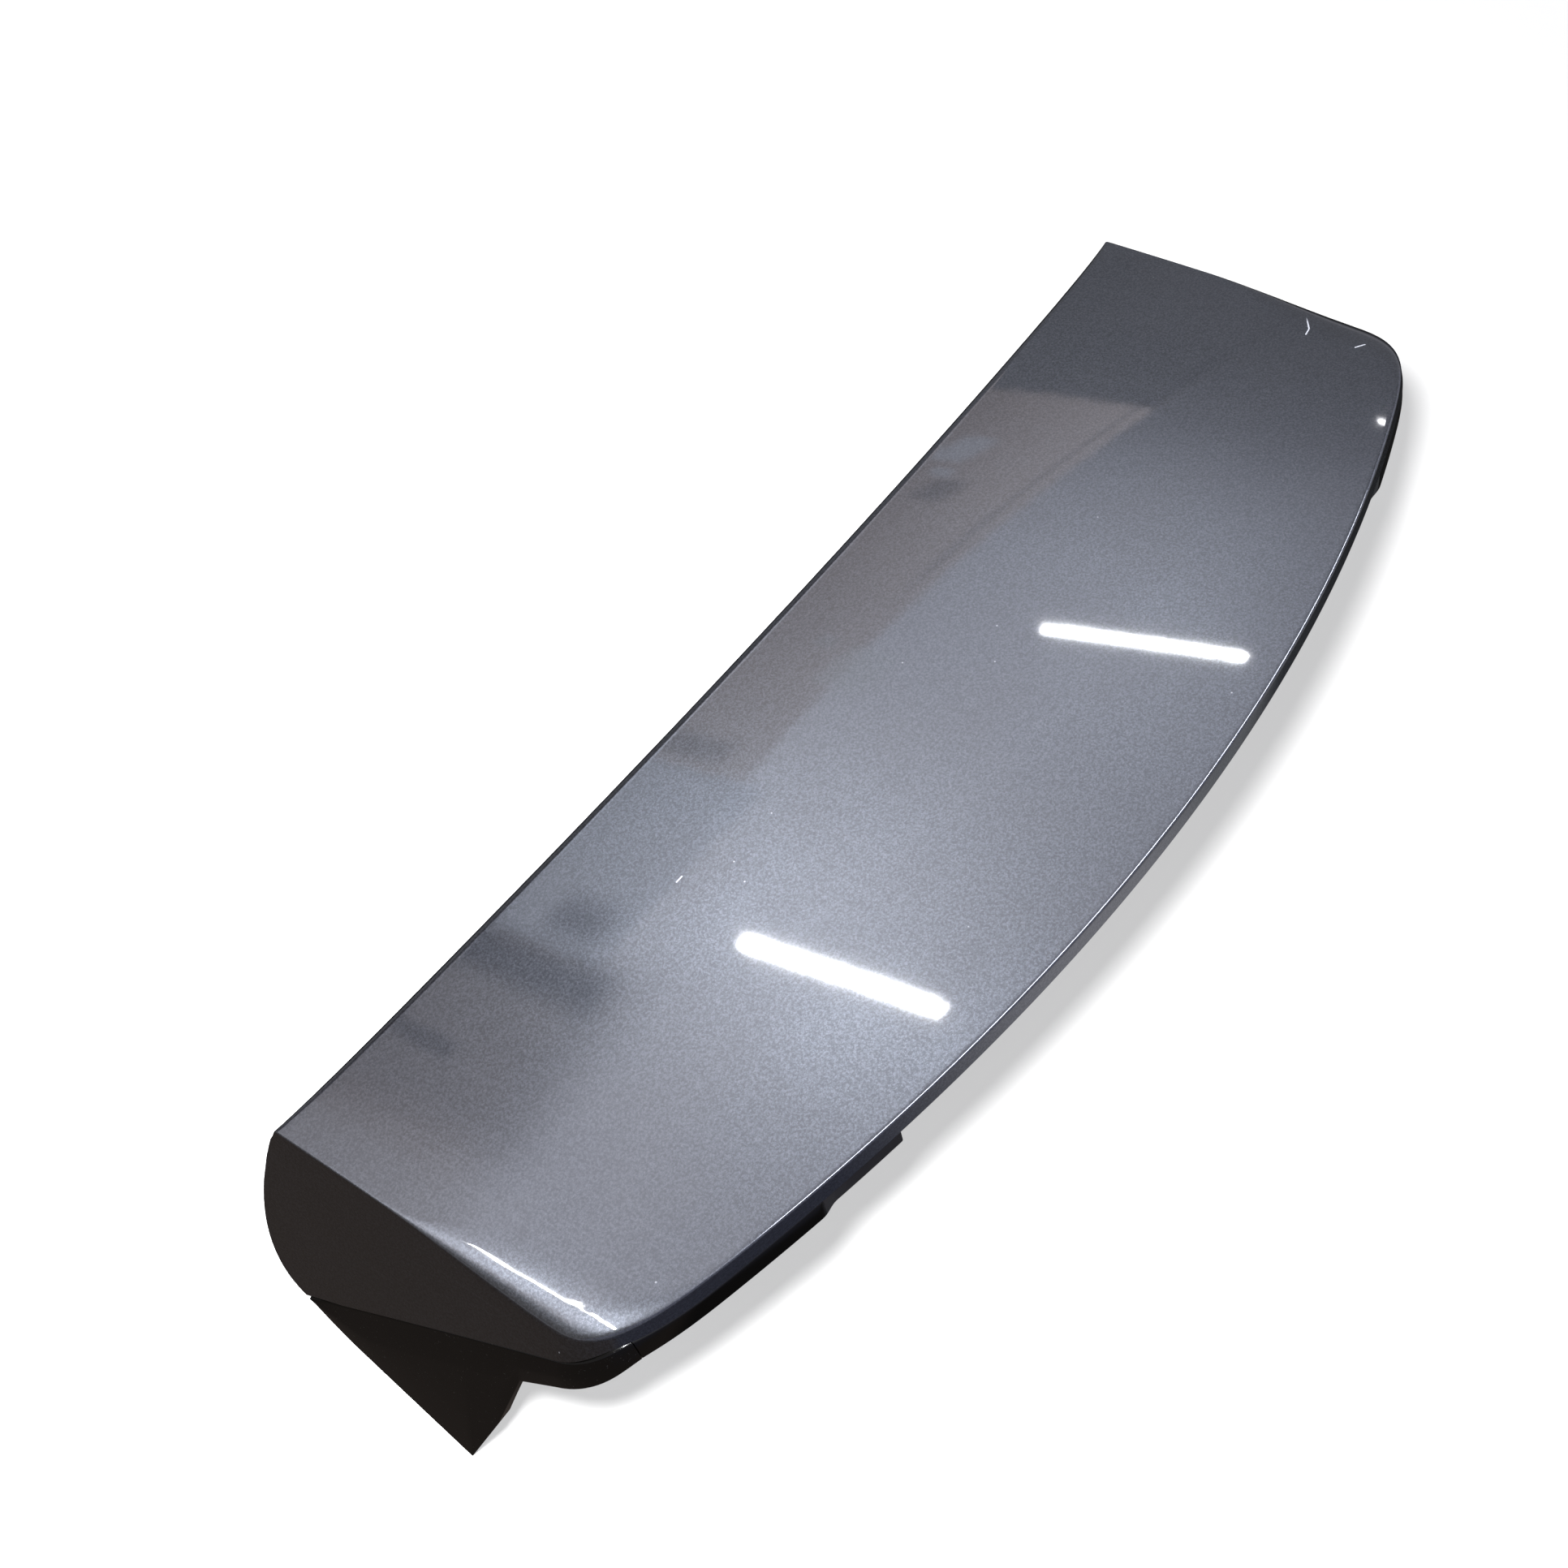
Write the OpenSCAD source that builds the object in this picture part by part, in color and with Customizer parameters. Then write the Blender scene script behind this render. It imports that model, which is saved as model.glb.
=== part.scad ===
// Rear roof spoiler: a painted outer skin over a black lower shell, with a black fin at each end.
// The origin lies under the middle of the part, on the surface that it rests on.
// +X runs across the car, +Y towards its front, and +Z up, with the fins' lower edges level.

/* [Wing] */
// Width of the top between its two front corners
top_w = 1150; // [950:10:1400]
// Length of the top at its two ends, front to back
end_chord = 316; // [260:1:380]
// How far the trailing edge bows back in the middle
rear_bow = 108; // [70:1:135]
// How far the front edge bows back in the middle
front_bow = 40; // [20:1:60]
// Drop of the top from its middle to its side edges
crown = 37; // [15:1:50]
// Drop of the top from its front to the middle of the trailing edge
camber = 12; // [0:1:25]

/* [Edges] */
// Height of the lip's face along the trailing edge
lip_h = 16; // [13:0.5:22]
// Lean of the lip's face out of upright, in degrees
lip_lean = 4; // [0:1:10]
// Rounding of the lip's upper edge
lip_r = 3; // [1:0.5:5]
// Rounding of the crease at the front of each side
crease_r = 1.5; // [1:0.5:4]
// Rounding of the shoulder that the crease softens into
shoulder_r = 46; // [20:1:55]
// Reach of that rounding down the side wall
shoulder_drop = 14; // [8:1:24]
// Distance from the front at which the crease starts to soften
shoulder_start = 110; // [60:5:160]
// Reach of the rounded rear corner along the side
corner_side = 48; // [42:1:90]
// Reach of the rounded rear corner along the trailing edge
corner_rear = 85; // [50:1:110]
// Roll of the front edge in the middle
front_roll = 10; // [8:1:16]
// Roll of the front edge at its two corners
corner_roll = 4; // [3.5:0.5:8]

/* [Sides] */
// Lean of the side walls out of upright, in degrees
side_lean = 16.7; // [8:0.1:24]
// Height of the painted side at its front
side_front_h = 168; // [145:1:190]
// Height of the painted side where the rear corner starts
side_rear_h = 39; // [36:1:60]
// How far the front of the side wall bulges forwards
nose_bulge = 50; // [20:1:60]
// How far behind the front corner the side's lower front corner lies
nose_back = 10; // [5:1:15]

/* [Fins] */
// How far behind the front corner the fin's tip lies
fin_tip_back = 178; // [150:1:200]
// Depth of the fin's tip below the top's corner
fin_tip_drop = 222; // [195:1:250]
// Slope of the fin's straight lower edge against the top's ends, in degrees
fin_pitch = 15.7; // [12:0.1:20]
// How far behind the front corner that edge becomes straight
fin_flat_back = 64; // [40:1:90]
// How far behind the front corner the fin's rear edge meets the band
fin_end_back = 234; // [215:1:245]
// Height of the black band below the painted side
side_band_h = 33; // [22:1:40]
// Width of the fin's turned-in lower edge
fin_return = 18; // [12:1:26]
// Wall of each fin
fin_wall = 2.5; // [2:0.5:3.5]

/* [Shells] */
// Wall of the painted skin
skin_wall = 3; // [2:0.5:4]
// Wall of the lower shell
shell_wall = 2.5; // [2:0.5:3.5]
// Height of the lower shell's band below the lip
band_h = 21.5; // [16:0.5:28]
// Distance from the middle to the inner end of each deep band
band_end = 399; // [360:1:440]
// Distance from the middle to the inner end of each stepped-in strip
strip_end = 328; // [300:1:350]
// Depth of that strip below the lip
strip_h = 35; // [28:1:40]
// Height of the mounting face above the surface that the part rests on
land_h = 148; // [135:1:160]
// Height of the flanges that tuck up behind the skin
tuck_h = 8; // [6:0.5:10]

/* [Fasteners] */
// Distance between the stud rows' columns, across the car
stud_span_x = 620; // [400:10:660]
// Distance between the stud rows, along the car
stud_span_y = 60; // [40:2:70]
// Diameter of a stud's thread
stud_d = 6; // [5:1:8]
// Length of a stud below the mounting face
stud_len = 22; // [14:1:30]
// Diameter of a stud's bonded head
stud_head_d = 24; // [18:1:28]
// Distance between the two locating pins
pin_span = 400; // [300:10:440]
// Diameter of a locating pin
pin_d = 8; // [6:0.5:12]
// Distance between the two outer retaining clips
clip_span = 860; // [700:10:940]
// Clearance between pieces that fit into each other
fit_gap = 0.4; // [0.3:0.1:0.8]

/* [Hidden] */

half_w = top_w / 2;
mid_back = end_chord + rear_bow;
side_flare = tan(side_lean);
lip_flare = tan(lip_lean);
camber_power = 1.7;

function mix(a, b, t) = a + (b - a) * t;
function clamp(t) = min(max(t, 0), 1);
function ease(t) = clamp(t) * clamp(t) * (3 - 2 * clamp(t));
function soft_max(a, b, k) = (a + b + sqrt((a - b) * (a - b) + k * k)) / 2;
function bend2(a, m, e, t) = a * (1 - t) * (1 - t) + m * 2 * t * (1 - t) + e * t * t;
function bend3(a, b, c, e, t) =
    a * pow(1 - t, 3) + b * 3 * t * pow(1 - t, 2) + c * 3 * t * t * (1 - t) + e * pow(t, 3);
function flip_x(p) = [-p[0], p[1], p[2]];
function unit(v) = v / norm(v);

// Plan curves and height of the top, before it is tipped into its resting attitude
function rear_y(x) = -end_chord - rear_bow * (1 - pow(x / half_w, 2));
function front_y(x) = -front_bow * (1 - pow(x / half_w, 2));
function drop_at(y) = camber * pow(max(-y, 0) / mid_back, camber_power);
function roof_z(x, y) = -crown * pow(x / half_w, 2) - drop_at(y);
function roll_at(x) = mix(front_roll, corner_roll, pow(abs(x) / half_w, 16));

// The rim runs from the front right corner down the side, round the rear corner and
// along the trailing edge. A place on it is given by the distance s from the front corner.
corner_x = half_w - corner_rear;
corner_slope = 2 * rear_bow * corner_x / pow(half_w, 2);
corner_peak = [half_w, rear_y(corner_x) + corner_slope * corner_rear];
corner_from = [half_w, corner_peak[1] + corner_side];
corner_to = [corner_x, rear_y(corner_x)];
corner_len = 0.87 * (corner_side + corner_rear);
s_side = -corner_from[1];
s_rear = s_side + corner_len;
s_mid = s_rear + corner_x;

function corner_t(s) = (s - s_side) / corner_len;
function rim_plan(s) =
    s <= s_side ? [half_w, -s]
    : s < s_rear ? bend2(corner_from, corner_peak, corner_to, corner_t(s))
    : [s_mid - s, rear_y(s_mid - s)];
function rim_heading(s) =
    s <= s_side ? [0, -1]
    : s < s_rear ? unit(mix(corner_peak - corner_from, corner_to - corner_peak, corner_t(s)))
    : unit([-1, -2 * rear_bow * (s_mid - s) / pow(half_w, 2)]);
function rim_out(s) = [-rim_heading(s)[1], rim_heading(s)[0]];
function rim_flare(s) = mix(side_flare, lip_flare, ease(corner_t(s)));
function rim_edge(s) = [rim_plan(s)[0], rim_plan(s)[1], roof_z(rim_plan(s)[0], rim_plan(s)[1])];

// Height of the painted wall, and how far the rounding reaches over the top and down the wall
side_taper = (side_front_h - side_rear_h) / (s_side - nose_back);
function wall_h(s) = soft_max(lip_h, side_front_h - side_taper * (s - nose_back), 8);
function rounding(s, reach) =
    let(base = mix(crease_r, lip_r, ease(corner_t(s))),
        swell = ease((s - shoulder_start) / (s_side - shoulder_start)) * ease((s_rear - s) / corner_len))
    mix(base, reach, swell);

// A point of the rim's wall: drop below the edge, and inset from the wall's outer face
function wall_point(s, drop, inset) =
    let(e = rim_edge(s), out = rim_out(s), reach = rim_flare(s) * drop - inset)
    [e[0] + out[0] * reach, e[1] + out[1] * reach, e[2] - drop];

// Resting attitude: the straight part of the fins' lower edges is level and at height 0
function tip(p) = [
    p[0],
    p[1] * cos(fin_pitch) + p[2] * sin(fin_pitch),
    p[2] * cos(fin_pitch) - p[1] * sin(fin_pitch)];
rest_lift = -tip([0, -fin_tip_back, -crown - fin_tip_drop])[2];
nose_low = 1.5;
nose_y = max([for (t = [0:0.02:1]) tip(outline_point(t))[1]]);
tail_y = tip(wall_point(s_mid, lip_h, 0))[1];
rest_shift = -(nose_y + tail_y) / 2;
function rest(p) = tip(p) + [0, rest_shift, rest_lift];
function unrest(p) =
    let(a = p[1] - rest_shift, b = p[2] - rest_lift)
    [p[0], a * cos(fin_pitch) - b * sin(fin_pitch), a * sin(fin_pitch) + b * cos(fin_pitch)];

// Front outline of the side wall, from the top corner to the lower front corner
function outline_point(t) =
    let(q = bend3([0, 0], [nose_bulge * 0.46, side_front_h * 0.32], [nose_bulge, side_front_h * 0.885],
            [-nose_back + 2, side_front_h - nose_low], t))
    [half_w + side_flare * q[1], q[0], -crown - q[1]];

// Counts of facets
n_roll = 4;
n_nose = 3;
n_side = 10;
n_corner = 10;
n_rear = 12;
n_round = 4;
n_wall = 2;
n_lead = n_roll + n_nose;
n_half = n_roll + n_side + n_corner + n_rear;
n_rim = 2 * n_half;
n_back = n_roll + n_side + n_corner / 2;
n_across = 2 * (n_corner / 2 + n_rear);
n_chain = n_round + n_wall;

// Distance along the rim of station i, counted from the front right corner
function station_s(i) =
    i <= n_roll + n_side ? mix(corner_roll, s_side, pow((i - n_roll) / n_side, 1.5))
    : i <= n_roll + n_side + n_corner ? mix(s_side, s_rear, (i - n_roll - n_side) / n_corner)
    : mix(s_rear, s_mid, (i - n_roll - n_side - n_corner) / n_rear);

// Rolled front edge at row r, as an offset from the sharp corner, for a skin inset by o
function roll_offset(r, roll, o) =
    bend2([-roll, -o], [-o, -o], [-o, -roll], 1 - r / n_roll);

// Station of the skin's wall, for a surface inset by o: sharp edge, foot, outward way, and the
// rounding's reach over the top and down the wall
function station_right(i, o) =
    let(s = i < n_roll ? 0 : station_s(i),
        flare = rim_flare(s),
        thick = o * sqrt(1 + flare * flare),
        out = rim_out(s),
        edge = i < n_roll ? let(q = roll_offset(i, corner_roll, o))
                [half_w - side_flare * q[1] - thick, q[0], -crown + q[1]]
            : wall_point(s, o, thick),
        foot0 = i <= n_lead ? outline_point(mix(0.07, 1, i / n_lead)) : wall_point(s, wall_h(s), 0),
        foot = foot0 - [out[0] * thick, out[1] * thick, 0],
        over = i < n_roll ? crease_r : rounding(s, shoulder_r),
        down = i < n_roll ? crease_r : rounding(s, shoulder_drop))
    [edge, foot, out, max(over - o * 0.75, 0.5), max(down - o * 0.75, 0.5)];
function flip_station(st) = [flip_x(st[0]), flip_x(st[1]), [-st[2][0], st[2][1]], st[3], st[4]];
function station(i, o) = i <= n_half ? station_right(i, o) : flip_station(station_right(n_rim - i, o));

// Where the rounding leaves the top, where it meets the wall, and a point of it
function top_end(st, o, level) =
    let(p = [st[0][0] - st[2][0] * st[3], st[0][1] - st[2][1] * st[3]])
    [p[0], p[1], level ? st[0][2] : roof_z(p[0], p[1]) - o];
function wall_end(st) = st[0] + (st[1] - st[0]) * min(0.6, st[4] / norm(st[1] - st[0]));
function chain_point(st, top, k) =
    k <= n_round ? bend2(top, st[0], wall_end(st), k / n_round)
    : mix(wall_end(st), st[1], (k - n_round) / n_wall);

// Top between its four edges, blended in plan and lifted to the height of the roof
function front_x(j) = (half_w - crease_r) * (1 - 2 * j / n_across);
function front_point(j, r, o) =
    let(x = front_x(j), q = roll_offset(r, roll_at(x), o), y = front_y(x))
    [x, y + q[0], roof_z(x, y) + q[1]];
function top_point(tops, r, j, o) =
    r < n_roll ? (j == 0 ? tops[r] : j == n_across ? tops[n_rim - r] : front_point(j, r, o))
    : let(v = (r - n_roll) / (n_back - n_roll),
        u = j / n_across,
        a = tops[n_roll],
        b = tops[n_rim - n_roll],
        c = tops[n_back],
        d = tops[n_back + n_across],
        front = j == 0 ? a : j == n_across ? b : front_point(j, n_roll, o),
        p = front * (1 - v) + tops[n_back + j] * v + tops[r] * (1 - u) + tops[n_rim - r] * u
            - (a * (1 - u) + b * u) * (1 - v) - (c * (1 - u) + d * u) * v)
    [p[0], p[1], roof_z(p[0], p[1]) - o];

function skin_surface(o) =
    let(st = [for (i = [0:n_rim]) station(i, o)],
        tops = [for (i = [0:n_rim]) top_end(st[i], o, min(i, n_rim - i) < n_roll)])
    concat(
        [for (r = [0:n_back], j = [0:n_across]) rest(top_point(tops, r, j, o))],
        [for (i = [0:n_rim], k = [1:n_chain]) rest(chain_point(st[i], tops[i], k))]);

// Faces: quads as two triangles, in the order that points outwards
function two(a, b, c, d) = [[a, d, c], [a, c, b]];
function flat1(lists) = [for (l = lists) for (e = l) e];
function grid_faces(rows, cols, base, inward) =
    flat1([for (r = [0:rows - 2], c = [0:cols - 2])
        let(a = base + r * cols + c, b = a + 1, d = a + cols, e = d + 1)
        inward ? two(a, d, e, b) : two(a, b, e, d)]);
function strip_faces(loop, lift) =
    flat1([for (k = [0:len(loop) - 1])
        let(a = loop[k], b = loop[(k + 1) % len(loop)])
        two(a, a + lift, b + lift, b)]);

// Index of the skin's point on station i, k steps below the edge of the top
function skin_index(i, k) =
    k > 0 ? (n_back + 1) * (n_across + 1) + i * n_chain + k - 1
    : i <= n_back ? i * (n_across + 1)
    : i <= n_back + n_across ? n_back * (n_across + 1) + i - n_back
    : (n_rim - i) * (n_across + 1) + n_across;

module skin_solid() {
    outside = skin_surface(0);
    inside = skin_surface(skin_wall);
    n = len(outside);
    wall = flat1([for (i = [0:n_rim - 1], k = [0:n_chain - 1])
        two(skin_index(i, k), skin_index(i + 1, k), skin_index(i + 1, k + 1), skin_index(i, k + 1))]);
    wall_in = [for (f = wall) [f[2] + n, f[1] + n, f[0] + n]];
    loop = concat(
        [for (j = [0:n_across]) j],
        [for (k = [1:n_chain]) skin_index(n_rim, k)],
        [for (i = [n_rim - 1:-1:0]) skin_index(i, n_chain)],
        [for (k = [n_chain - 1:-1:1]) skin_index(0, k)]);
    polyhedron(
        concat(outside, inside),
        concat(
            grid_faces(n_back + 1, n_across + 1, 0, false),
            grid_faces(n_back + 1, n_across + 1, n, true),
            wall, wall_in, strip_faces(loop, n)),
        convexity = 6);
}

// Closed shell between two grids of points
module grid_solid(outside, inside) {
    rows = len(outside);
    cols = len(outside[0]);
    n = rows * cols;
    loop = concat(
        [for (c = [0:cols - 1]) c],
        [for (r = [1:rows - 1]) r * cols + cols - 1],
        [for (c = [cols - 2:-1:0]) (rows - 1) * cols + c],
        [for (r = [rows - 2:-1:1]) r * cols]);
    polyhedron(
        concat(flat1(outside), flat1(inside)),
        concat(grid_faces(rows, cols, 0, false), grid_faces(rows, cols, n, true), strip_faces(loop, n)),
        convexity = 6);
}

// Section path in (inset, height), moved to its left by t, with mitred corners
function left_of(v) = [-v[1], v[0]];
function moved_path(path, t) = [for (k = [0:len(path) - 1])
    let(a = k > 0 ? left_of(unit(path[k] - path[k - 1])) : left_of(unit(path[1] - path[0])),
        b = k < len(path) - 1 ? left_of(unit(path[k + 1] - path[k])) : a,
        m = unit(a + b))
    path[k] + m * t / (m * a)];

// Lower shell: a column of points for each place along the rim, from the flange tucked behind
// the lip, down the band and forward over the underside to the seat behind the front roll
pod_inset = 0.6;
strip_inset = 12;
middle_inset = 36;
rim_gap = 0.5;
seam_drop = 1.5;
heel = 6;
n_sheet = 12;
land_from = 0.5;
land_to = 0.85;
side_gap = 5.5;
front_inset = front_roll - 2;
seam_s = station_s(n_back);
seam_half = 0.4;

function spread(a, b, n) = [for (k = [0:n - 1]) mix(a, b, k / n)];
function shell_inset(x) =
    pod_inset + (strip_inset - pod_inset) * (1 - ease((abs(x) - band_end + 12) / 24))
    + (middle_inset - strip_inset) * (1 - ease((abs(x) - strip_end + 12) / 12));
shell_xs = concat(
    spread(corner_x, band_end + 12, 2), spread(band_end + 12, band_end - 12, 5),
    spread(band_end - 12, strip_end, 2), spread(strip_end, strip_end - 12, 3),
    spread(strip_end - 12, 0, 7), [0]);
shell_stops = concat(spread(seam_s + seam_half, s_rear, 5), [for (x = shell_xs) s_mid - x]);
n_half_shell = len(shell_stops);

function front_seat(s) =
    let(x = mix(half_w - side_gap - skin_wall, 0, (s - seam_s) / (s_mid - seam_s)),
        y = front_y(x))
    [x, y - front_inset, roof_z(x, y) - skin_wall - fit_gap - shell_wall];
function shell_heading(s) =
    let(goal = front_seat(s), e = rim_edge(s))
    unit([goal[0] - e[0], goal[1] - e[1]]);
function shell_column(s) =
    let(drop = wall_h(s),
        flare = rim_flare(s),
        e = rim_edge(s),
        goal = front_seat(s),
        away = shell_heading(s),
        stretch = -1 / (away * rim_out(s)),
        back = skin_wall * sqrt(1 + flare * flare) + fit_gap,
        inset = s >= s_rear ? shell_inset(s_mid - s) : pod_inset,
        low = drop + mix(band_h, strip_h, clamp((inset - pod_inset) / (strip_inset - pod_inset))),
        path = [[back, tuck_h - drop], [back, -drop - rim_gap], [inset, -drop - rim_gap - seam_drop],
            [inset + 1, -low], [inset + 1 + heel, -low - heel * tan(fin_pitch)]],
        band = function(q) let(d = (q[0] + flare * q[1]) * stretch)
            rest([e[0] + away[0] * d, e[1] + away[1] * d, e[2] + q[1]]),
        outer = [for (q = path) band(q)],
        inner = [for (q = moved_path(path, shell_wall)) band(q)],
        from = outer[4],
        to = rest(goal),
        sheet = [for (k = [1:n_sheet])
            let(t = k / n_sheet,
                z = t < land_from ? mix(from[2], land_h, ease(t / land_from))
                    : t < land_to ? land_h
                    : mix(land_h, to[2], ease((t - land_to) / (1 - land_to))))
            [mix(from[0], to[0], t), mix(from[1], to[1], t), z]])
    [outer, inner, sheet];

// Share by which the sheet widens at step k, so that its sides stay clear of the fins' flanges
function sheet_share(side, k) =
    let(q = unrest(side[k]),
        room = half_w + side_flare * (roof_z(half_w, q[1]) - q[2]) - side_gap - skin_wall)
    mix(1, room / side[k][0], ease((k + 1) / n_sheet / 0.35));
function widen(p, share) = [p[0] * share, p[1], p[2]];

module lower_shell_solid() {
    right = [for (s = shell_stops) shell_column(s)];
    share = [for (k = [0:n_sheet - 1]) sheet_share(right[0][2], k)];
    n_band = len(right[0][0]);
    order = concat([for (c = [0:n_half_shell - 1]) c], [for (c = [n_half_shell - 2:-1:0]) c]);
    columns = [for (m = [0:len(order) - 1])
        let(c = right[order[m]],
            under = [for (k = [0:n_sheet - 1]) widen(c[2][k], share[k])],
            outer = concat(c[0], under),
            inner = concat(c[1], [for (p = under) p + [0, 0, shell_wall]]))
        m < n_half_shell ? [outer, inner] : [[for (p = outer) flip_x(p)], [for (p = inner) flip_x(p)]]];
    grid_solid(
        [for (k = [0:n_band + n_sheet - 1]) [for (c = columns) c[0][k]]],
        [for (k = [0:n_band + n_sheet - 1]) [for (c = columns) c[1][k]]]);
}

// Fins: the same kind of column, ending in a flange that turns in along the lower edge
fin_bend_back = fin_tip_back + 31;
fin_bend_drop = fin_tip_drop - 62;
tip_flat = 4;
clip_gap = 1.5;
step_in = 7;
step_up = 3.4;
fin_stops = concat(
    [nose_back + 2, 20], spread(34, fin_flat_back, 2), spread(fin_flat_back, fin_tip_back, 4), [fin_tip_back],
    spread(fin_tip_back + tip_flat, fin_bend_back, 2), spread(fin_bend_back, fin_end_back, 2),
    spread(fin_end_back, s_side, 1), spread(s_side, seam_s - seam_half, 5), [seam_s - seam_half]);

function fin_band(s) = mix(side_band_h, band_h, clamp((s - fin_end_back) / (seam_s - fin_end_back)));
fin_end_drop = wall_h(fin_end_back) + side_band_h;
function share(s, from, to) = (s - from) / (to - from);
function fin_line(s) = fin_tip_drop - tan(fin_pitch) * (fin_tip_back - s);
fin_rise = fin_line(nose_back) - side_front_h;
function fin_low(s) =
    let(sink = drop_at(-s))
    s <= fin_tip_back ? fin_line(s) - fin_rise * pow(1 - clamp(share(s, nose_back, fin_flat_back)), 2) - sink
    : s <= fin_bend_back ? mix(fin_tip_drop, fin_bend_drop, share(s, fin_tip_back, fin_bend_back)) - sink
    : s <= fin_end_back ? mix(fin_bend_drop - sink, fin_end_drop, share(s, fin_bend_back, fin_end_back))
    : wall_h(s) + fin_band(s);
function fin_turn(s) = mix(fin_return, fin_wall + step_in, ease(share(s, fin_tip_back, fin_end_back)));
function fin_lift(s) =
    step_up * ease(share(s, 18, 30)) * ease(share(s, fin_tip_back + 2 * tip_flat, fin_tip_back));

// Towards the seam the fin's columns turn until they run alongside the lower shell's first one
seam_out = rim_out(seam_s);
seam_away = shell_heading(seam_s + seam_half);
seam_skew = -(seam_away * rim_heading(seam_s)) / (seam_away * seam_out);
function fin_point(s, drop, inset) =
    let(e = rim_edge(s),
        out = rim_out(s) - rim_heading(s) * seam_skew * ease(share(s, s_side, seam_s)),
        reach = rim_flare(s) * drop - inset)
    [e[0] + out[0] * reach, e[1] + out[1] * reach, e[2] - drop];
function fin_column(s) =
    let(drop = wall_h(s),
        low = fin_low(s),
        tall = low - drop,
        thin = min(1, tall / 14),
        flare = rim_flare(s),
        back = skin_wall * sqrt(1 + flare * flare) + clip_gap,
        ridge = min(side_band_h, 0.55 * tall),
        turn = fin_turn(s),
        path = [[back, tuck_h - drop], [back, -drop - rim_gap * thin],
            [pod_inset, -drop - (rim_gap + seam_drop) * thin], [-pod_inset, -drop - ridge],
            [pod_inset, -low], [pod_inset + step_in, -low],
            [pod_inset + step_in + 2, -low + fin_lift(s)], [pod_inset + turn, -low + fin_lift(s)]],
        wall = fin_wall * thin)
    [[for (q = path) rest(fin_point(s, -q[1], q[0]))],
     [for (q = moved_path(path, wall)) rest(fin_point(s, -q[1], q[0]))]];

module fin_solid() {
    columns = [for (s = fin_stops) fin_column(s)];
    rows = len(columns[0][0]);
    grid_solid(
        [for (k = [0:rows - 1]) [for (c = columns) c[0][k]]],
        [for (k = [0:rows - 1]) [for (c = columns) c[1][k]]]);
}

// Foam strip under the raised part of the fin's turned-in flange
seal_from = fin_flat_back;
seal_to = fin_tip_back - 8;
seal_clear = 0.3;
module fin_seal_solid() {
    stops = concat(spread(seal_from, seal_to, 5), [seal_to]);
    near = pod_inset + step_in + 3;
    far = pod_inset + fin_return - 0.5;
    low_side = [for (d = [near, far]) [for (s = stops) rest(wall_point(s, fin_low(s), d)) + [0, 0, 0.1]]];
    high = step_up * cos(fin_pitch) - seal_clear - 0.1;
    grid_solid(low_side, [for (row = low_side) [for (p = row) p + [0, 0, high]]]);
}

// Foam strip under the rolled front edge
front_seal_half = 0.94;
front_seal_w = 6;
front_seal_h = 5;
module front_seal_solid() {
    n = 24;
    xs = [for (j = [0:n]) half_w * front_seal_half * (1 - 2 * j / n)];
    top = [for (y = [front_seal_w, 0]) [for (x = xs)
        rest([x, front_y(x) - y - 0.2, roof_z(x, front_y(x)) - roll_at(x) - seal_clear])]];
    under = [for (row = top) [for (p = row) p - [0, 0, front_seal_h]]];
    grid_solid(under, top);
}

// Spring clips that grip each fin's tucked flange behind the skin
clip_places = [55, 110, 165];
clip_sheet = 0.5;
clip_leg = 6;
clip_len = 14;
clip_lift = 0.9;
module spring_clip() {
    gap = fin_wall + 2 * seal_clear;
    outer = gap + 2 * clip_sheet;
    rotate([90, 0, 0])
        linear_extrude(clip_len, center = true)
            difference() {
                translate([-outer / 2, -clip_leg])
                    square([outer, clip_leg + clip_sheet]);
                translate([-gap / 2, -clip_leg - 1])
                    square([gap, clip_leg + 1]);
            }
}
module side_clips() {
    for (s = clip_places) {
        back = skin_wall * sqrt(1 + side_flare * side_flare) + clip_gap + fin_wall / 2;
        top = rest(wall_point(s, wall_h(s) - tuck_h, back));
        translate(top + [0, 0, clip_lift])
            rotate([-fin_pitch, 0, 0])
                rotate([0, -side_lean, 0])
                    rotate([-atan(side_taper / cos(side_lean)), 0, 0])
                        spring_clip();
    }
}

// Fasteners under the flat mounting face
land_middle = mix(rear_y(0) + middle_inset, front_y(0) - front_inset, (land_from + land_to) / 2);
land_y = rest([0, land_middle, -60])[1];
stud_head_h = 2;
gasket_h = 4;
gasket_w = 8;
pin_len = 16;
pin_base_d = 18;
clip_d = 7;
clip_stem = 15;
module place_studs() {
    for (x = [-1, 1], y = [-1, 1])
        translate([x * stud_span_x / 2, land_y + y * stud_span_y / 2, land_h])
            children();
}
module stud() {
    translate([0, 0, -stud_head_h])
        cylinder(h = stud_head_h, d = stud_head_d, $fn = 64);
    translate([0, 0, -stud_head_h - stud_len + 1])
        cylinder(h = stud_len - 1, d = stud_d, $fn = 48);
    translate([0, 0, -stud_head_h - stud_len])
        cylinder(h = 1, d1 = stud_d - 1.6, d2 = stud_d, $fn = 48);
}
module gasket() {
    translate([0, 0, -gasket_h])
        difference() {
            cylinder(h = gasket_h, d = stud_head_d + 2 * fit_gap + 2 * gasket_w, $fn = 64);
            translate([0, 0, -1])
                cylinder(h = gasket_h + 2, d = stud_head_d + 2 * fit_gap, $fn = 64);
        }
}
module locating_pin() {
    rotate_extrude($fn = 48)
        polygon([[0, 0], [pin_base_d / 2, 0], [pin_base_d / 2, -1.5], [pin_d / 2 + 1, -3], [pin_d / 2, -4],
            [pin_d / 2, -pin_len + 5], [pin_d / 4, -pin_len], [0, -pin_len]]);
}
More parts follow.
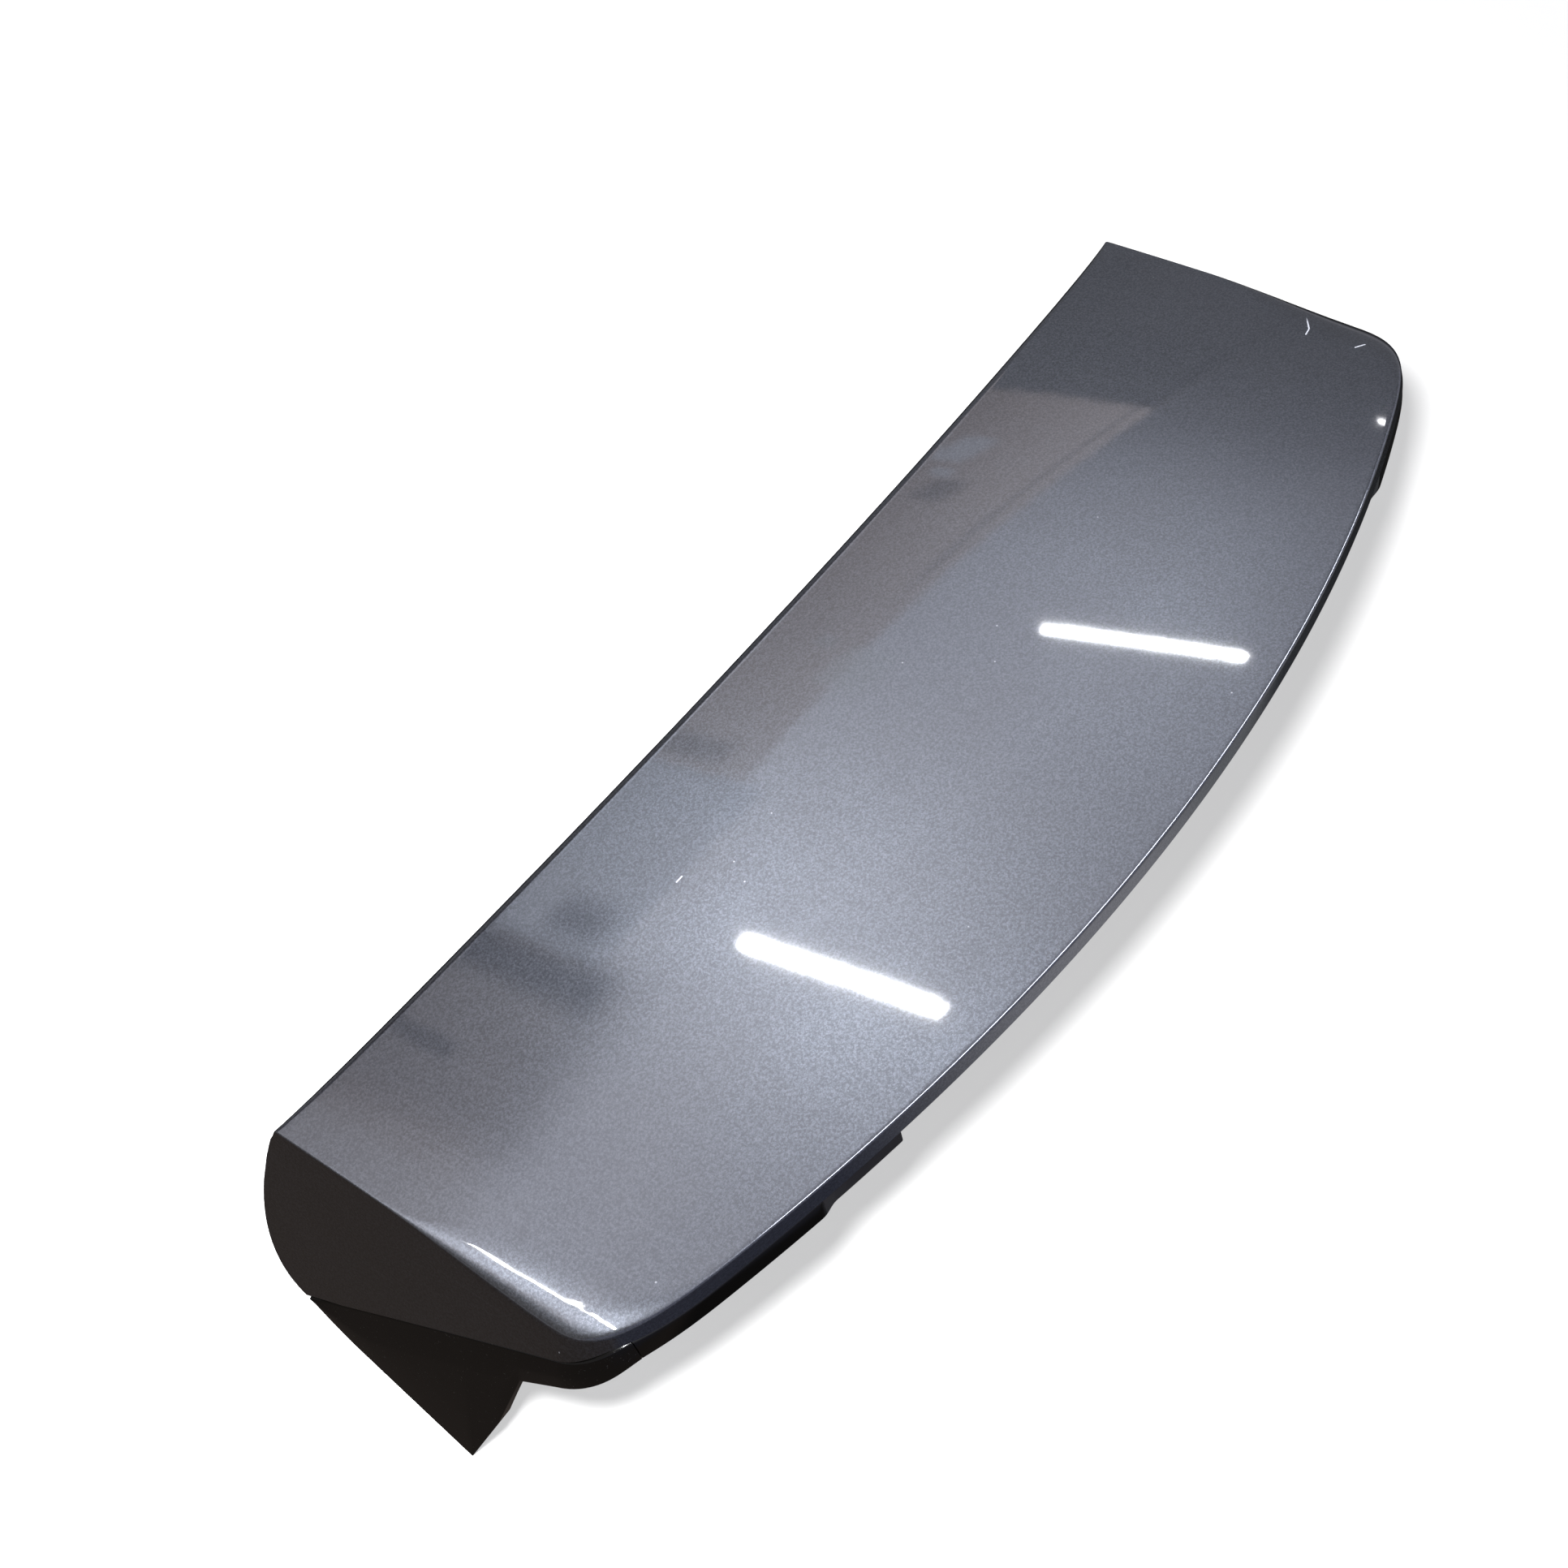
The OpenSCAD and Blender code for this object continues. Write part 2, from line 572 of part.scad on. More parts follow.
module retaining_clip() {
    flange_r = 10;
    flange_h = 1.6;
    barb = 1.4;
    barb_step = 3.4;
    stem_r = clip_d / 2;
    barbs = [for (k = [0:2], q = [[stem_r, -4], [stem_r + barb, -4.4], [stem_r - 0.4, -7]])
        [q[0], q[1] - barb_step * k]];
    rotate_extrude($fn = 48)
        polygon(concat(
            [[0, 0], [flange_r, 0], [flange_r, -flange_h], [stem_r, -flange_h]],
            barbs,
            [[1.6, -clip_stem], [0, -clip_stem]]));
}

module outer_skin() {
    color([0.36, 0.37, 0.40])
        skin_solid();
}
module lower_shell() {
    color([0.05, 0.05, 0.055])
        lower_shell_solid();
}
module right_fin() {
    color([0.03, 0.03, 0.03])
        fin_solid();
}
module left_fin() {
    color([0.03, 0.03, 0.03])
        mirror([1, 0, 0])
            fin_solid();
}
module right_fin_seal() {
    color([0.15, 0.15, 0.15])
        fin_seal_solid();
}
module left_fin_seal() {
    color([0.15, 0.15, 0.15])
        mirror([1, 0, 0])
            fin_seal_solid();
}
module fin_clips() {
    color([0.6, 0.6, 0.62]) {
        side_clips();
        mirror([1, 0, 0])
            side_clips();
    }
}
module front_seal() {
    color([0.1, 0.1, 0.1])
        front_seal_solid();
}
module mounting_studs() {
    color([0.72, 0.7, 0.6])
        place_studs()
            stud();
}
module stud_gaskets() {
    color([0.18, 0.18, 0.18])
        place_studs()
            gasket();
}
module locating_pins() {
    color([0.08, 0.08, 0.08])
        for (x = [-1, 1])
            translate([x * pin_span / 2, land_y, land_h])
                locating_pin();
}
module retaining_clips() {
    color([0.85, 0.84, 0.8])
        for (x = [-1, 0, 1])
            translate([x * clip_span / 2, land_y, land_h])
                retaining_clip();
}

outer_skin();
lower_shell();
left_fin();
right_fin();
left_fin_seal();
right_fin_seal();
fin_clips();
front_seal();
mounting_studs();
stud_gaskets();
locating_pins();
retaining_clips();
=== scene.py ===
"""Looks of the rear roof spoiler.

The painted skin, the two fins and the lower shell are drawn again from the same curves as the solid part,
at a finer pitch and with rounded corners. The small pieces keep their solid nodes and only get materials.
All curves are in millimetres and become metres when a mesh is made.
"""

import math

import bpy
import numpy as np
from mathutils import Matrix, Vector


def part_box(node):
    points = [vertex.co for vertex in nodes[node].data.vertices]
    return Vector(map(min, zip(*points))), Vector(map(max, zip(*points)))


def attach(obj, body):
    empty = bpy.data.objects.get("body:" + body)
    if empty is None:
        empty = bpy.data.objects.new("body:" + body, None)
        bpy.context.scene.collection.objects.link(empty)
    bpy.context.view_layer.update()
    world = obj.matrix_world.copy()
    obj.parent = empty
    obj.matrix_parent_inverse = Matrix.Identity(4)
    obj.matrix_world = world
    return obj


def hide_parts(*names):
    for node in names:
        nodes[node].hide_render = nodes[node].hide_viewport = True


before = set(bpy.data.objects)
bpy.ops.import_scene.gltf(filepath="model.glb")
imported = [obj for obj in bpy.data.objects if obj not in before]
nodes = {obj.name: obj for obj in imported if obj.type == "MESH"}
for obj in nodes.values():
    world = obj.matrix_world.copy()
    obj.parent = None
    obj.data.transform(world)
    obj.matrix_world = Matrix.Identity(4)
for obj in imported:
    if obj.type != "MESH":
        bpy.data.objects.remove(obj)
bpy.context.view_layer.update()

# Sizes of the solid part, in millimetres and degrees
TOP_W, END_CHORD, REAR_BOW, FRONT_BOW, CROWN, CAMBER = 1150.0, 316.0, 108.0, 40.0, 37.0, 12.0
LIP_H, LIP_LEAN, LIP_R, CREASE_R, SHOULDER_R, SHOULDER_DROP = 16.0, 4.0, 3.0, 1.5, 46.0, 14.0
SHOULDER_START, CORNER_SIDE, CORNER_REAR, FRONT_ROLL, CORNER_ROLL = 110.0, 48.0, 85.0, 10.0, 4.0
SIDE_LEAN, SIDE_FRONT_H, SIDE_REAR_H, NOSE_BULGE, NOSE_BACK = 16.7, 168.0, 39.0, 50.0, 10.0
FIN_TIP_BACK, FIN_TIP_DROP, FIN_PITCH, FIN_FLAT_BACK, FIN_END_BACK = 178.0, 222.0, 15.7, 64.0, 234.0
SIDE_BAND_H, FIN_RETURN, FIN_WALL, SKIN_WALL, SHELL_WALL = 33.0, 18.0, 2.5, 3.0, 2.5
BAND_H, BAND_END, STRIP_END, STRIP_H, LAND_H, TUCK_H, FIT_GAP = 21.5, 399.0, 328.0, 35.0, 148.0, 8.0, 0.4
POD_INSET, STRIP_INSET, MIDDLE_INSET, RIM_GAP, SEAM_DROP, HEEL = 0.6, 12.0, 36.0, 0.5, 1.5, 6.0
LAND_FROM, LAND_TO, SIDE_GAP, SEAM_HALF, TIP_FLAT, CLIP_GAP = 0.5, 0.85, 5.5, 0.4, 4.0, 1.5
STEP_IN, STEP_UP, NOSE_LOW, CAMBER_POWER = 7.0, 3.4, 1.5, 1.7
SHELL_RADII, SHELL_INNER_RADII = (0.6, 0.9, 1.6), (0.4, 0.3, 0.4)
FIN_RADII, FIN_INNER_RADII = (0.6, 0.9, 2.5, 1.2, 0.8, 0.8), (0.3, 0.3, 2.5, 0.3, 0.3, 0.3)
FRONT_INSET = FRONT_ROLL - 2
FIN_BEND_BACK = FIN_TIP_BACK + 31
FIN_BEND_DROP = FIN_TIP_DROP - 62

# Counts of steps: each is six times the solid part's
N_ROLL, N_NOSE, N_SIDE, N_CORNER, N_REAR = 24, 18, 60, 60, 72
N_ROUND, N_WALL, N_SHEET, N_ARC = 14, 10, 48, 5
N_LEAD = N_ROLL + N_NOSE
N_HALF = N_ROLL + N_SIDE + N_CORNER + N_REAR
N_RIM = 2 * N_HALF
N_BACK = N_ROLL + N_SIDE + N_CORNER // 2
N_ACROSS = 2 * (N_CORNER // 2 + N_REAR)
N_CHAIN = N_ROUND + N_WALL

HALF_W = TOP_W / 2
MID_BACK = END_CHORD + REAR_BOW
SIDE_FLARE = math.tan(math.radians(SIDE_LEAN))
LIP_FLARE = math.tan(math.radians(LIP_LEAN))
PITCH_COS, PITCH_SIN = math.cos(math.radians(FIN_PITCH)), math.sin(math.radians(FIN_PITCH))
PITCH_TAN = PITCH_SIN / PITCH_COS
FLIP = np.array([-1.0, 1.0, 1.0])


def mix(a, b, t):
    return a + (b - a) * t


def ease(t):
    t = np.clip(t, 0, 1)
    return t * t * (3 - 2 * t)


def soft_max(a, b, k):
    return (a + b + np.sqrt((a - b) ** 2 + k * k)) / 2


def bend2(a, m, e, t):
    return a * (1 - t) ** 2 + m * 2 * t * (1 - t) + e * t * t


def vec(*parts):
    """Coordinates put side by side as an array of points."""
    return np.stack(np.broadcast_arrays(*[np.asarray(p, float) for p in parts]), axis=-1)


def unit(v):
    return v / np.linalg.norm(v, axis=-1, keepdims=True)


def rear_y(x):
    return -END_CHORD - REAR_BOW * (1 - (x / HALF_W) ** 2)


def front_y(x):
    return -FRONT_BOW * (1 - (x / HALF_W) ** 2)


def drop_at(y):
    return CAMBER * (np.maximum(-y, 0) / MID_BACK) ** CAMBER_POWER


def roof_z(x, y):
    return -CROWN * (x / HALF_W) ** 2 - drop_at(y)


def roll_at(x):
    return mix(FRONT_ROLL, CORNER_ROLL, (np.abs(x) / HALF_W) ** 16)


CORNER_X = HALF_W - CORNER_REAR
CORNER_SLOPE = 2 * REAR_BOW * CORNER_X / HALF_W**2
CORNER_PEAK = np.array([HALF_W, rear_y(CORNER_X) + CORNER_SLOPE * CORNER_REAR])
CORNER_START = np.array([HALF_W, CORNER_PEAK[1] + CORNER_SIDE])
CORNER_END = np.array([CORNER_X, rear_y(CORNER_X)])
CORNER_LEN = 0.87 * (CORNER_SIDE + CORNER_REAR)
S_SIDE = -CORNER_START[1]
S_REAR = S_SIDE + CORNER_LEN
S_MID = S_REAR + CORNER_X
SIDE_TAPER = (SIDE_FRONT_H - SIDE_REAR_H) / (S_SIDE - NOSE_BACK)


def corner_t(s):
    return (s - S_SIDE) / CORNER_LEN


def pick(s, side, corner, rear):
    """Values of the side, the rear corner or the trailing edge, by the distance s along the rim."""
    s = s[..., None]
    return np.where(s <= S_SIDE, side, np.where(s < S_REAR, corner, rear))


def rim_plan(s):
    """Plan curve of the rim: straight side, quadratic curve round the corner, parabola along the back."""
    corner = bend2(CORNER_START, CORNER_PEAK, CORNER_END, corner_t(s)[..., None])
    return pick(s, vec(HALF_W, -s), corner, vec(S_MID - s, rear_y(S_MID - s)))


def rim_heading(s):
    corner = unit(mix(CORNER_PEAK - CORNER_START, CORNER_END - CORNER_PEAK, corner_t(s)[..., None]))
    rear = unit(vec(-1.0, -2 * REAR_BOW * (S_MID - s) / HALF_W**2))
    return pick(s, vec(0 * s, -1.0), corner, rear)


def rim_out(s):
    h = rim_heading(s)
    return vec(-h[..., 1], h[..., 0])


def rim_flare(s):
    return mix(SIDE_FLARE, LIP_FLARE, ease(corner_t(s)))


def wall_h(s):
    return soft_max(LIP_H, SIDE_FRONT_H - SIDE_TAPER * (s - NOSE_BACK), 8)


def rounding(s, reach):
    base = mix(CREASE_R, LIP_R, ease(corner_t(s)))
    swell = ease((s - SHOULDER_START) / (S_SIDE - SHOULDER_START)) * ease((S_REAR - s) / CORNER_LEN)
    return mix(base, reach, swell)


def wall_point(s, drop, inset):
    """Point of the rim's wall: the rim's point moved outwards by flare * drop - inset and down by drop."""
    e, out = rim_plan(s), rim_out(s)
    reach = rim_flare(s) * drop - inset
    x, y = e[..., 0] + out[..., 0] * reach, e[..., 1] + out[..., 1] * reach
    return vec(x, y, roof_z(e[..., 0], e[..., 1]) - drop)


def outline_point(t):
    """Front outline of the side wall: a cubic curve in the wall's own plane."""
    t = t[..., None]
    q = (
        np.array([0.0, 0.0]) * (1 - t) ** 3
        + np.array([NOSE_BULGE * 0.46, SIDE_FRONT_H * 0.32]) * 3 * t * (1 - t) ** 2
        + np.array([NOSE_BULGE, SIDE_FRONT_H * 0.885]) * 3 * t * t * (1 - t)
        + np.array([-NOSE_BACK + 2, SIDE_FRONT_H - NOSE_LOW]) * t**3
    )
    return vec(HALF_W + SIDE_FLARE * q[..., 1], q[..., 0], -CROWN - q[..., 1])


def tip(p):
    """Turn about the x axis by the pitch of the fins' lower edges."""
    x, y, z = p[..., 0], p[..., 1], p[..., 2]
    return vec(x, y * PITCH_COS + z * PITCH_SIN, z * PITCH_COS - y * PITCH_SIN)


REST_LIFT = -tip(np.array([0, -FIN_TIP_BACK, -CROWN - FIN_TIP_DROP]))[2]
NOSE_Y = tip(outline_point(np.linspace(0, 1, 51)))[:, 1].max()
TAIL_Y = tip(wall_point(np.array([S_MID]), LIP_H, 0))[0, 1]
REST_SHIFT = -(NOSE_Y + TAIL_Y) / 2


def rest(p):
    return tip(p) + np.array([0, REST_SHIFT, REST_LIFT])


def unrest(p):
    a, b = p[..., 1] - REST_SHIFT, p[..., 2] - REST_LIFT
    return vec(p[..., 0], a * PITCH_COS - b * PITCH_SIN, a * PITCH_SIN + b * PITCH_COS)


def station_s(i):
    side = mix(CORNER_ROLL, S_SIDE, (np.maximum(i - N_ROLL, 0) / N_SIDE) ** 1.5)
    corner = mix(S_SIDE, S_REAR, (i - N_ROLL - N_SIDE) / N_CORNER)
    rear = mix(S_REAR, S_MID, (i - N_ROLL - N_SIDE - N_CORNER) / N_REAR)
    return np.where(i <= N_ROLL + N_SIDE, side, np.where(i <= N_ROLL + N_SIDE + N_CORNER, corner, rear))


def roll_offset(r, roll, o):
    """Quadratic curve of the rolled front edge at row r, as an offset from its sharp corner."""
    t = 1 - r / N_ROLL
    return vec(bend2(-roll, -o, -o, t), bend2(-o, -o, -roll, t))


# The skin's edge is averaged over this length to each side along the rim, so that its direction has no jump.
# The averaging fades out over SOFTEN_FADE at the front and at the middle. SOFTEN: place, share of each sample
SOFTEN_OVER, SOFTEN_FADE = 22.0, 60.0
SOFTEN = [(-1.0, 0.1), (-0.67, 0.15), (-0.33, 0.16), (0.0, 0.18), (0.33, 0.16), (0.67, 0.15), (1.0, 0.1)]


def skin_surface(o):
    """Points of the skin's surface inset by o: the top's grid, then the chains down its wall.

    The top is a Coons patch of its four edge curves in plan, lifted to the roof's height. Each chain is a
    quadratic curve over the edge, followed by a straight wall down to the foot.
    """
    i = np.arange(N_HALF + 1)
    s = np.where(i < N_ROLL, 0.0, station_s(i))
    flare = rim_flare(s)
    thick = o * np.sqrt(1 + flare**2)
    reach = SOFTEN_OVER * ease((s - CORNER_ROLL) / SOFTEN_FADE) * ease((S_MID - s) / SOFTEN_FADE)

    def soft(f):
        return sum(share * f(s + reach * k) for k, share in SOFTEN)

    out = unit(soft(rim_out))
    roll = roll_offset(i, CORNER_ROLL, o)
    rolled = vec(HALF_W - SIDE_FLARE * roll[:, 1] - thick, roll[:, 0], -CROWN + roll[:, 1])
    crest = soft(lambda a: wall_point(a, o, o * np.sqrt(1 + rim_flare(a) ** 2)))
    edge = np.where((i < N_ROLL)[:, None], rolled, crest)
    nose = outline_point(mix(0.07, 1, np.minimum(i / N_LEAD, 1)))
    foot = np.where((i <= N_LEAD)[:, None], nose, wall_point(s, wall_h(s), 0))
    foot = foot - vec(rim_out(s)[:, 0] * thick, rim_out(s)[:, 1] * thick, 0)
    over = np.maximum(np.where(i < N_ROLL, CREASE_R, rounding(s, SHOULDER_R)) - o * 0.75, 0.5)
    down = np.maximum(np.where(i < N_ROLL, CREASE_R, rounding(s, SHOULDER_DROP)) - o * 0.75, 0.5)

    order = np.concatenate([i, i[-2::-1]])
    side = np.where(np.arange(N_RIM + 1) <= N_HALF, 1.0, -1.0)[:, None]
    edge, foot = (a[order] * np.concatenate([side, side * side, side * side], 1) for a in (edge, foot))
    out = out[order] * np.concatenate([side, side * side], 1)
    over, down, level = over[order], down[order], order < N_ROLL

    plan = edge[:, :2] - out * over[:, None]
    tops = vec(plan[:, 0], plan[:, 1], np.where(level, edge[:, 2], roof_z(plan[:, 0], plan[:, 1]) - o))
    leg = foot - edge
    length = np.linalg.norm(leg, axis=1)
    wall = edge + leg * np.minimum(0.6, down / length)[:, None]

    j = np.arange(N_ACROSS + 1)
    x = (HALF_W - CREASE_R) * (1 - 2 * j / N_ACROSS)

    def front_row(r):
        q = roll_offset(r, roll_at(x), o)
        row = vec(x, front_y(x) + q[:, 0], roof_z(x, front_y(x)) + q[:, 1])
        row[0], row[-1] = tops[r], tops[N_RIM - r]
        return row

    front = front_row(N_ROLL)
    v = (np.arange(N_BACK - N_ROLL + 1) / (N_BACK - N_ROLL))[:, None, None]
    u = (j / N_ACROSS)[None, :, None]
    left, right = tops[N_ROLL : N_BACK + 1][:, None], tops[N_RIM - N_ROLL : N_RIM - N_BACK - 1 : -1][:, None]
    a, b, c, d = tops[N_ROLL], tops[N_RIM - N_ROLL], tops[N_BACK], tops[N_BACK + N_ACROSS]
    patch = front[None] * (1 - v) + tops[N_BACK : N_BACK + N_ACROSS + 1][None] * v + left * (1 - u) + right * u
    patch = patch - (a * (1 - u) + b * u) * (1 - v) - (c * (1 - u) + d * u) * v
    patch[..., 2] = roof_z(patch[..., 0], patch[..., 1]) - o
    grid = np.concatenate([[front_row(r) for r in range(N_ROLL)], patch])

    t = (np.arange(1, N_ROUND + 1) / N_ROUND)[None, :, None]
    over_edge = bend2(tops[:, None], edge[:, None], wall[:, None], t)
    t = (np.arange(1, N_WALL + 1) / N_WALL)[None, :, None]
    straight = mix(wall[:, None], foot[:, None], t)
    chains = np.concatenate([over_edge, straight], axis=1)
    return rest(np.concatenate([grid.reshape(-1, 3), chains.reshape(-1, 3)]))


def grid_quads(rows, cols):
    a = (np.arange(rows - 1)[:, None] * cols + np.arange(cols - 1)).ravel()
    return np.stack([a, a + 1, a + cols + 1, a + cols], 1)


def strip_quads(loop, lift):
    a, b = loop, np.roll(loop, -1)
    return np.stack([a, a + lift, b + lift, b], 1)


# The paint's faint waviness: a sum of sine waves in random directions, with their lengths in millimetres
PEEL_WAVES, PEEL_SHORT, PEEL_LONG, PEEL_SLOPE = 60, 10, 24, 0.00022


def skin_mesh():
    """Closed skin: outer surface, inner surface 3 mm inside it, and a strip round its free edges."""
    outside, inside = skin_surface(0.0), skin_surface(SKIN_WALL)
    n = len(outside)
    rng = np.random.default_rng(11)
    turn = rng.uniform(0, 2 * np.pi, PEEL_WAVES)
    length = rng.uniform(PEEL_SHORT, PEEL_LONG, PEEL_WAVES)
    phase = rng.uniform(0, 2 * np.pi, PEEL_WAVES)
    wave = 2 * np.pi / length
    along = outside[:, :1] * (np.cos(turn) * wave) + outside[:, 1:2] * (np.sin(turn) * wave) + phase
    outside[:, 2] += (np.sin(along) / wave).sum(1) * PEEL_SLOPE
    base = (N_BACK + 1) * (N_ACROSS + 1)
    i = np.arange(N_RIM + 1)
    first = np.where(
        i <= N_BACK,
        i * (N_ACROSS + 1),
        np.where(i <= N_BACK + N_ACROSS, N_BACK * (N_ACROSS + 1) + i - N_BACK, (N_RIM - i) * (N_ACROSS + 1) + N_ACROSS),
    )
    index = np.concatenate([first[:, None], base + i[:, None] * N_CHAIN + np.arange(N_CHAIN)], axis=1)
    wall = np.stack([index[:-1, :-1], index[1:, :-1], index[1:, 1:], index[:-1, 1:]], -1).reshape(-1, 4)
    top = grid_quads(N_BACK + 1, N_ACROSS + 1)
    outer = np.concatenate([top, wall])
    loop = np.concatenate([np.arange(N_ACROSS + 1), index[-1, 1:], index[-2::-1, -1], index[0, -2:0:-1]])
    return np.concatenate([outside, inside]), np.concatenate([outer, outer[:, ::-1] + n, strip_quads(loop, n)])


def grid_mesh(outside, inside):
    """Closed shell between two grids of points of the same size."""
    rows, cols = outside.shape[:2]
    n = rows * cols
    outer = grid_quads(rows, cols)
    c, r = np.arange(cols), np.arange(rows)
    loop = np.concatenate([c, r[1:] * cols + cols - 1, (rows - 1) * cols + c[-2::-1], r[-2:0:-1] * cols])
    points = np.concatenate([outside.reshape(-1, 3), inside.reshape(-1, 3)])
    return points, np.concatenate([outer, outer[:, ::-1] + n, strip_quads(loop, n)])


def moved_path(path, t):
    """Section paths (station, corner, 2) moved to their left by t, with mitred corners."""
    way = unit(np.diff(path, axis=1))
    left = np.stack([-way[..., 1], way[..., 0]], -1)
    a = np.concatenate([left[:, :1], left], axis=1)
    b = np.concatenate([left, left[:, -1:]], axis=1)
    m = unit(a + b)
    return path + m * (t / (m * a).sum(-1))[..., None]


def round_path(path, radii):
    """Section paths whose inner corners become quadratic arcs that start and end a radius from the corner."""
    legs = np.linalg.norm(np.diff(path, axis=1), axis=2)
    t = np.linspace(0, 1, N_ARC + 1)[None, :, None]
    parts = [path[:, :1]]
    for k in range(1, path.shape[1] - 1):
        reach = np.minimum(radii[k - 1], 0.42 * np.minimum(legs[:, k - 1], legs[:, k]))[:, None]
        before = path[:, k] + unit(path[:, k - 1] - path[:, k]) * reach
        after = path[:, k] + unit(path[:, k + 1] - path[:, k]) * reach
        parts.append(bend2(before[:, None], path[:, k][:, None], after[:, None], t))
    return np.concatenate(parts + [path[:, -1:]], axis=1)


SEAM_S = float(station_s(np.array([N_BACK]))[0])


def spread(stops, counts):
    """Even steps between the given stops, with the last stop at the end."""
    parts = [np.linspace(a, b, n, endpoint=False) for a, b, n in zip(stops, stops[1:], counts)]
    return np.concatenate(parts + [stops[-1:]])


def shell_inset(x):
    inner = POD_INSET + (STRIP_INSET - POD_INSET) * (1 - ease((np.abs(x) - BAND_END + 12) / 24))
    return inner + (MIDDLE_INSET - STRIP_INSET) * (1 - ease((np.abs(x) - STRIP_END + 12) / 12))


def front_seat(s):
    x = mix(HALF_W - SIDE_GAP - SKIN_WALL, 0, (s - SEAM_S) / (S_MID - SEAM_S))
    y = front_y(x)
    return vec(x, y - FRONT_INSET, roof_z(x, y) - SKIN_WALL - FIT_GAP - SHELL_WALL)


def shell_heading(s):
    return unit(front_seat(s)[..., :2] - rim_plan(s))


def shell_mesh():
    """Lower shell, and how much of the band's gloss each of its points has.

    For each place along the rim a path gives a flange behind the skin, the band and its turned-in heel, with
    rounded corners. From the heel the underside runs straight in plan to the front seat, and rises by a smooth
    step to the level mounting land and by another to the seat. The inner surface is the same, a wall further in.
    """
    xs = [CORNER_X, BAND_END + 12, BAND_END - 12, STRIP_END, STRIP_END - 12, 0]
    s = np.concatenate([
        spread([SEAM_S + SEAM_HALF, S_REAR], [40])[:-1],
        S_MID - spread(xs, [12, 24, 12, 14, 40]),
    ])
    drop, flare, e, goal, away = wall_h(s), rim_flare(s), rim_plan(s), front_seat(s), shell_heading(s)
    e_z = roof_z(e[:, 0], e[:, 1])
    stretch = -1 / (away * rim_out(s)).sum(1)
    back = SKIN_WALL * np.sqrt(1 + flare**2) + FIT_GAP
    inset = np.where(s >= S_REAR, shell_inset(S_MID - s), POD_INSET)
    low = drop + mix(BAND_H, STRIP_H, np.clip((inset - POD_INSET) / (STRIP_INSET - POD_INSET), 0, 1))
    path = np.stack([
        vec(back, TUCK_H - drop),
        vec(back, -drop - RIM_GAP),
        vec(inset, -drop - RIM_GAP - SEAM_DROP),
        vec(inset + 1, -low),
        vec(inset + 1 + HEEL, -low - HEEL * PITCH_TAN),
    ], axis=1)

    def band(q):
        d = (q[..., 0] + flare[:, None] * q[..., 1]) * stretch[:, None]
        plan = e[:, None] + away[:, None] * d[..., None]
        return rest(vec(plan[..., 0], plan[..., 1], e_z[:, None] + q[..., 1]))

    outer = band(round_path(path, SHELL_RADII))
    inner = band(round_path(moved_path(path, np.full((len(s), 5), SHELL_WALL)), SHELL_INNER_RADII))
    start, end = outer[:, -1], rest(goal)
    t = (np.arange(1, N_SHEET + 1) / N_SHEET)[None, :]
    rise = mix(start[:, 2:], LAND_H, ease(t / LAND_FROM))
    fall = mix(LAND_H, end[:, 2:], ease((t - LAND_TO) / (1 - LAND_TO)))
    z = np.where(t < LAND_FROM, rise, np.where(t < LAND_TO, LAND_H, fall))
    under = vec(mix(start[:, :1], end[:, :1], t), mix(start[:, 1:2], end[:, 1:2], t), z)
    q = unrest(under[0])
    room = HALF_W + SIDE_FLARE * (roof_z(HALF_W, q[:, 1]) - q[:, 2]) - SIDE_GAP - SKIN_WALL
    under[..., 0] *= mix(1, room / under[0, :, 0], ease(t[0] / 0.35))
    outer = np.concatenate([outer, under], axis=1)
    inner = np.concatenate([inner, under + np.array([0, 0, SHELL_WALL])], axis=1)
    wide = 1 - ease((inset - POD_INSET) / 3)
    above = 1 - ease((np.arange(outer.shape[1]) - 2 * N_ARC - 4) / N_ARC)
    share = wide[:, None] * above
    outer, inner, share = (
        np.concatenate([a, a[-2::-1] * flip]) for a, flip in ((outer, FLIP), (inner, FLIP), (share, 1))
    )
    points, quads = grid_mesh(outer.swapaxes(0, 1), inner.swapaxes(0, 1))
    return points, quads, np.tile(share.T.ravel(), 2)


def part_of(s, start, end):
    return (s - start) / (end - start)


def fin_line(s):
    return FIN_TIP_DROP - PITCH_TAN * (FIN_TIP_BACK - s)


def fin_low(s):
    """Depth of the fin's lower edge: rising front end, straight edge, tip, rear edge and band."""
    sink = drop_at(-s)
    lift = (fin_line(NOSE_BACK) - SIDE_FRONT_H) * (1 - np.clip(part_of(s, NOSE_BACK, FIN_FLAT_BACK), 0, 1)) ** 2
    end = wall_h(np.array(FIN_END_BACK)) + SIDE_BAND_H
    band = mix(SIDE_BAND_H, BAND_H, np.clip(part_of(s, FIN_END_BACK, SEAM_S), 0, 1))
    tip_edge = mix(FIN_TIP_DROP, FIN_BEND_DROP, part_of(s, FIN_TIP_BACK, FIN_BEND_BACK)) - sink
    rear_edge = mix(FIN_BEND_DROP - sink, end, part_of(s, FIN_BEND_BACK, FIN_END_BACK))
    low = np.where(s <= FIN_END_BACK, rear_edge, wall_h(s) + band)
    low = np.where(s <= FIN_BEND_BACK, tip_edge, low)
    return np.where(s <= FIN_TIP_BACK, fin_line(s) - lift - sink, low)


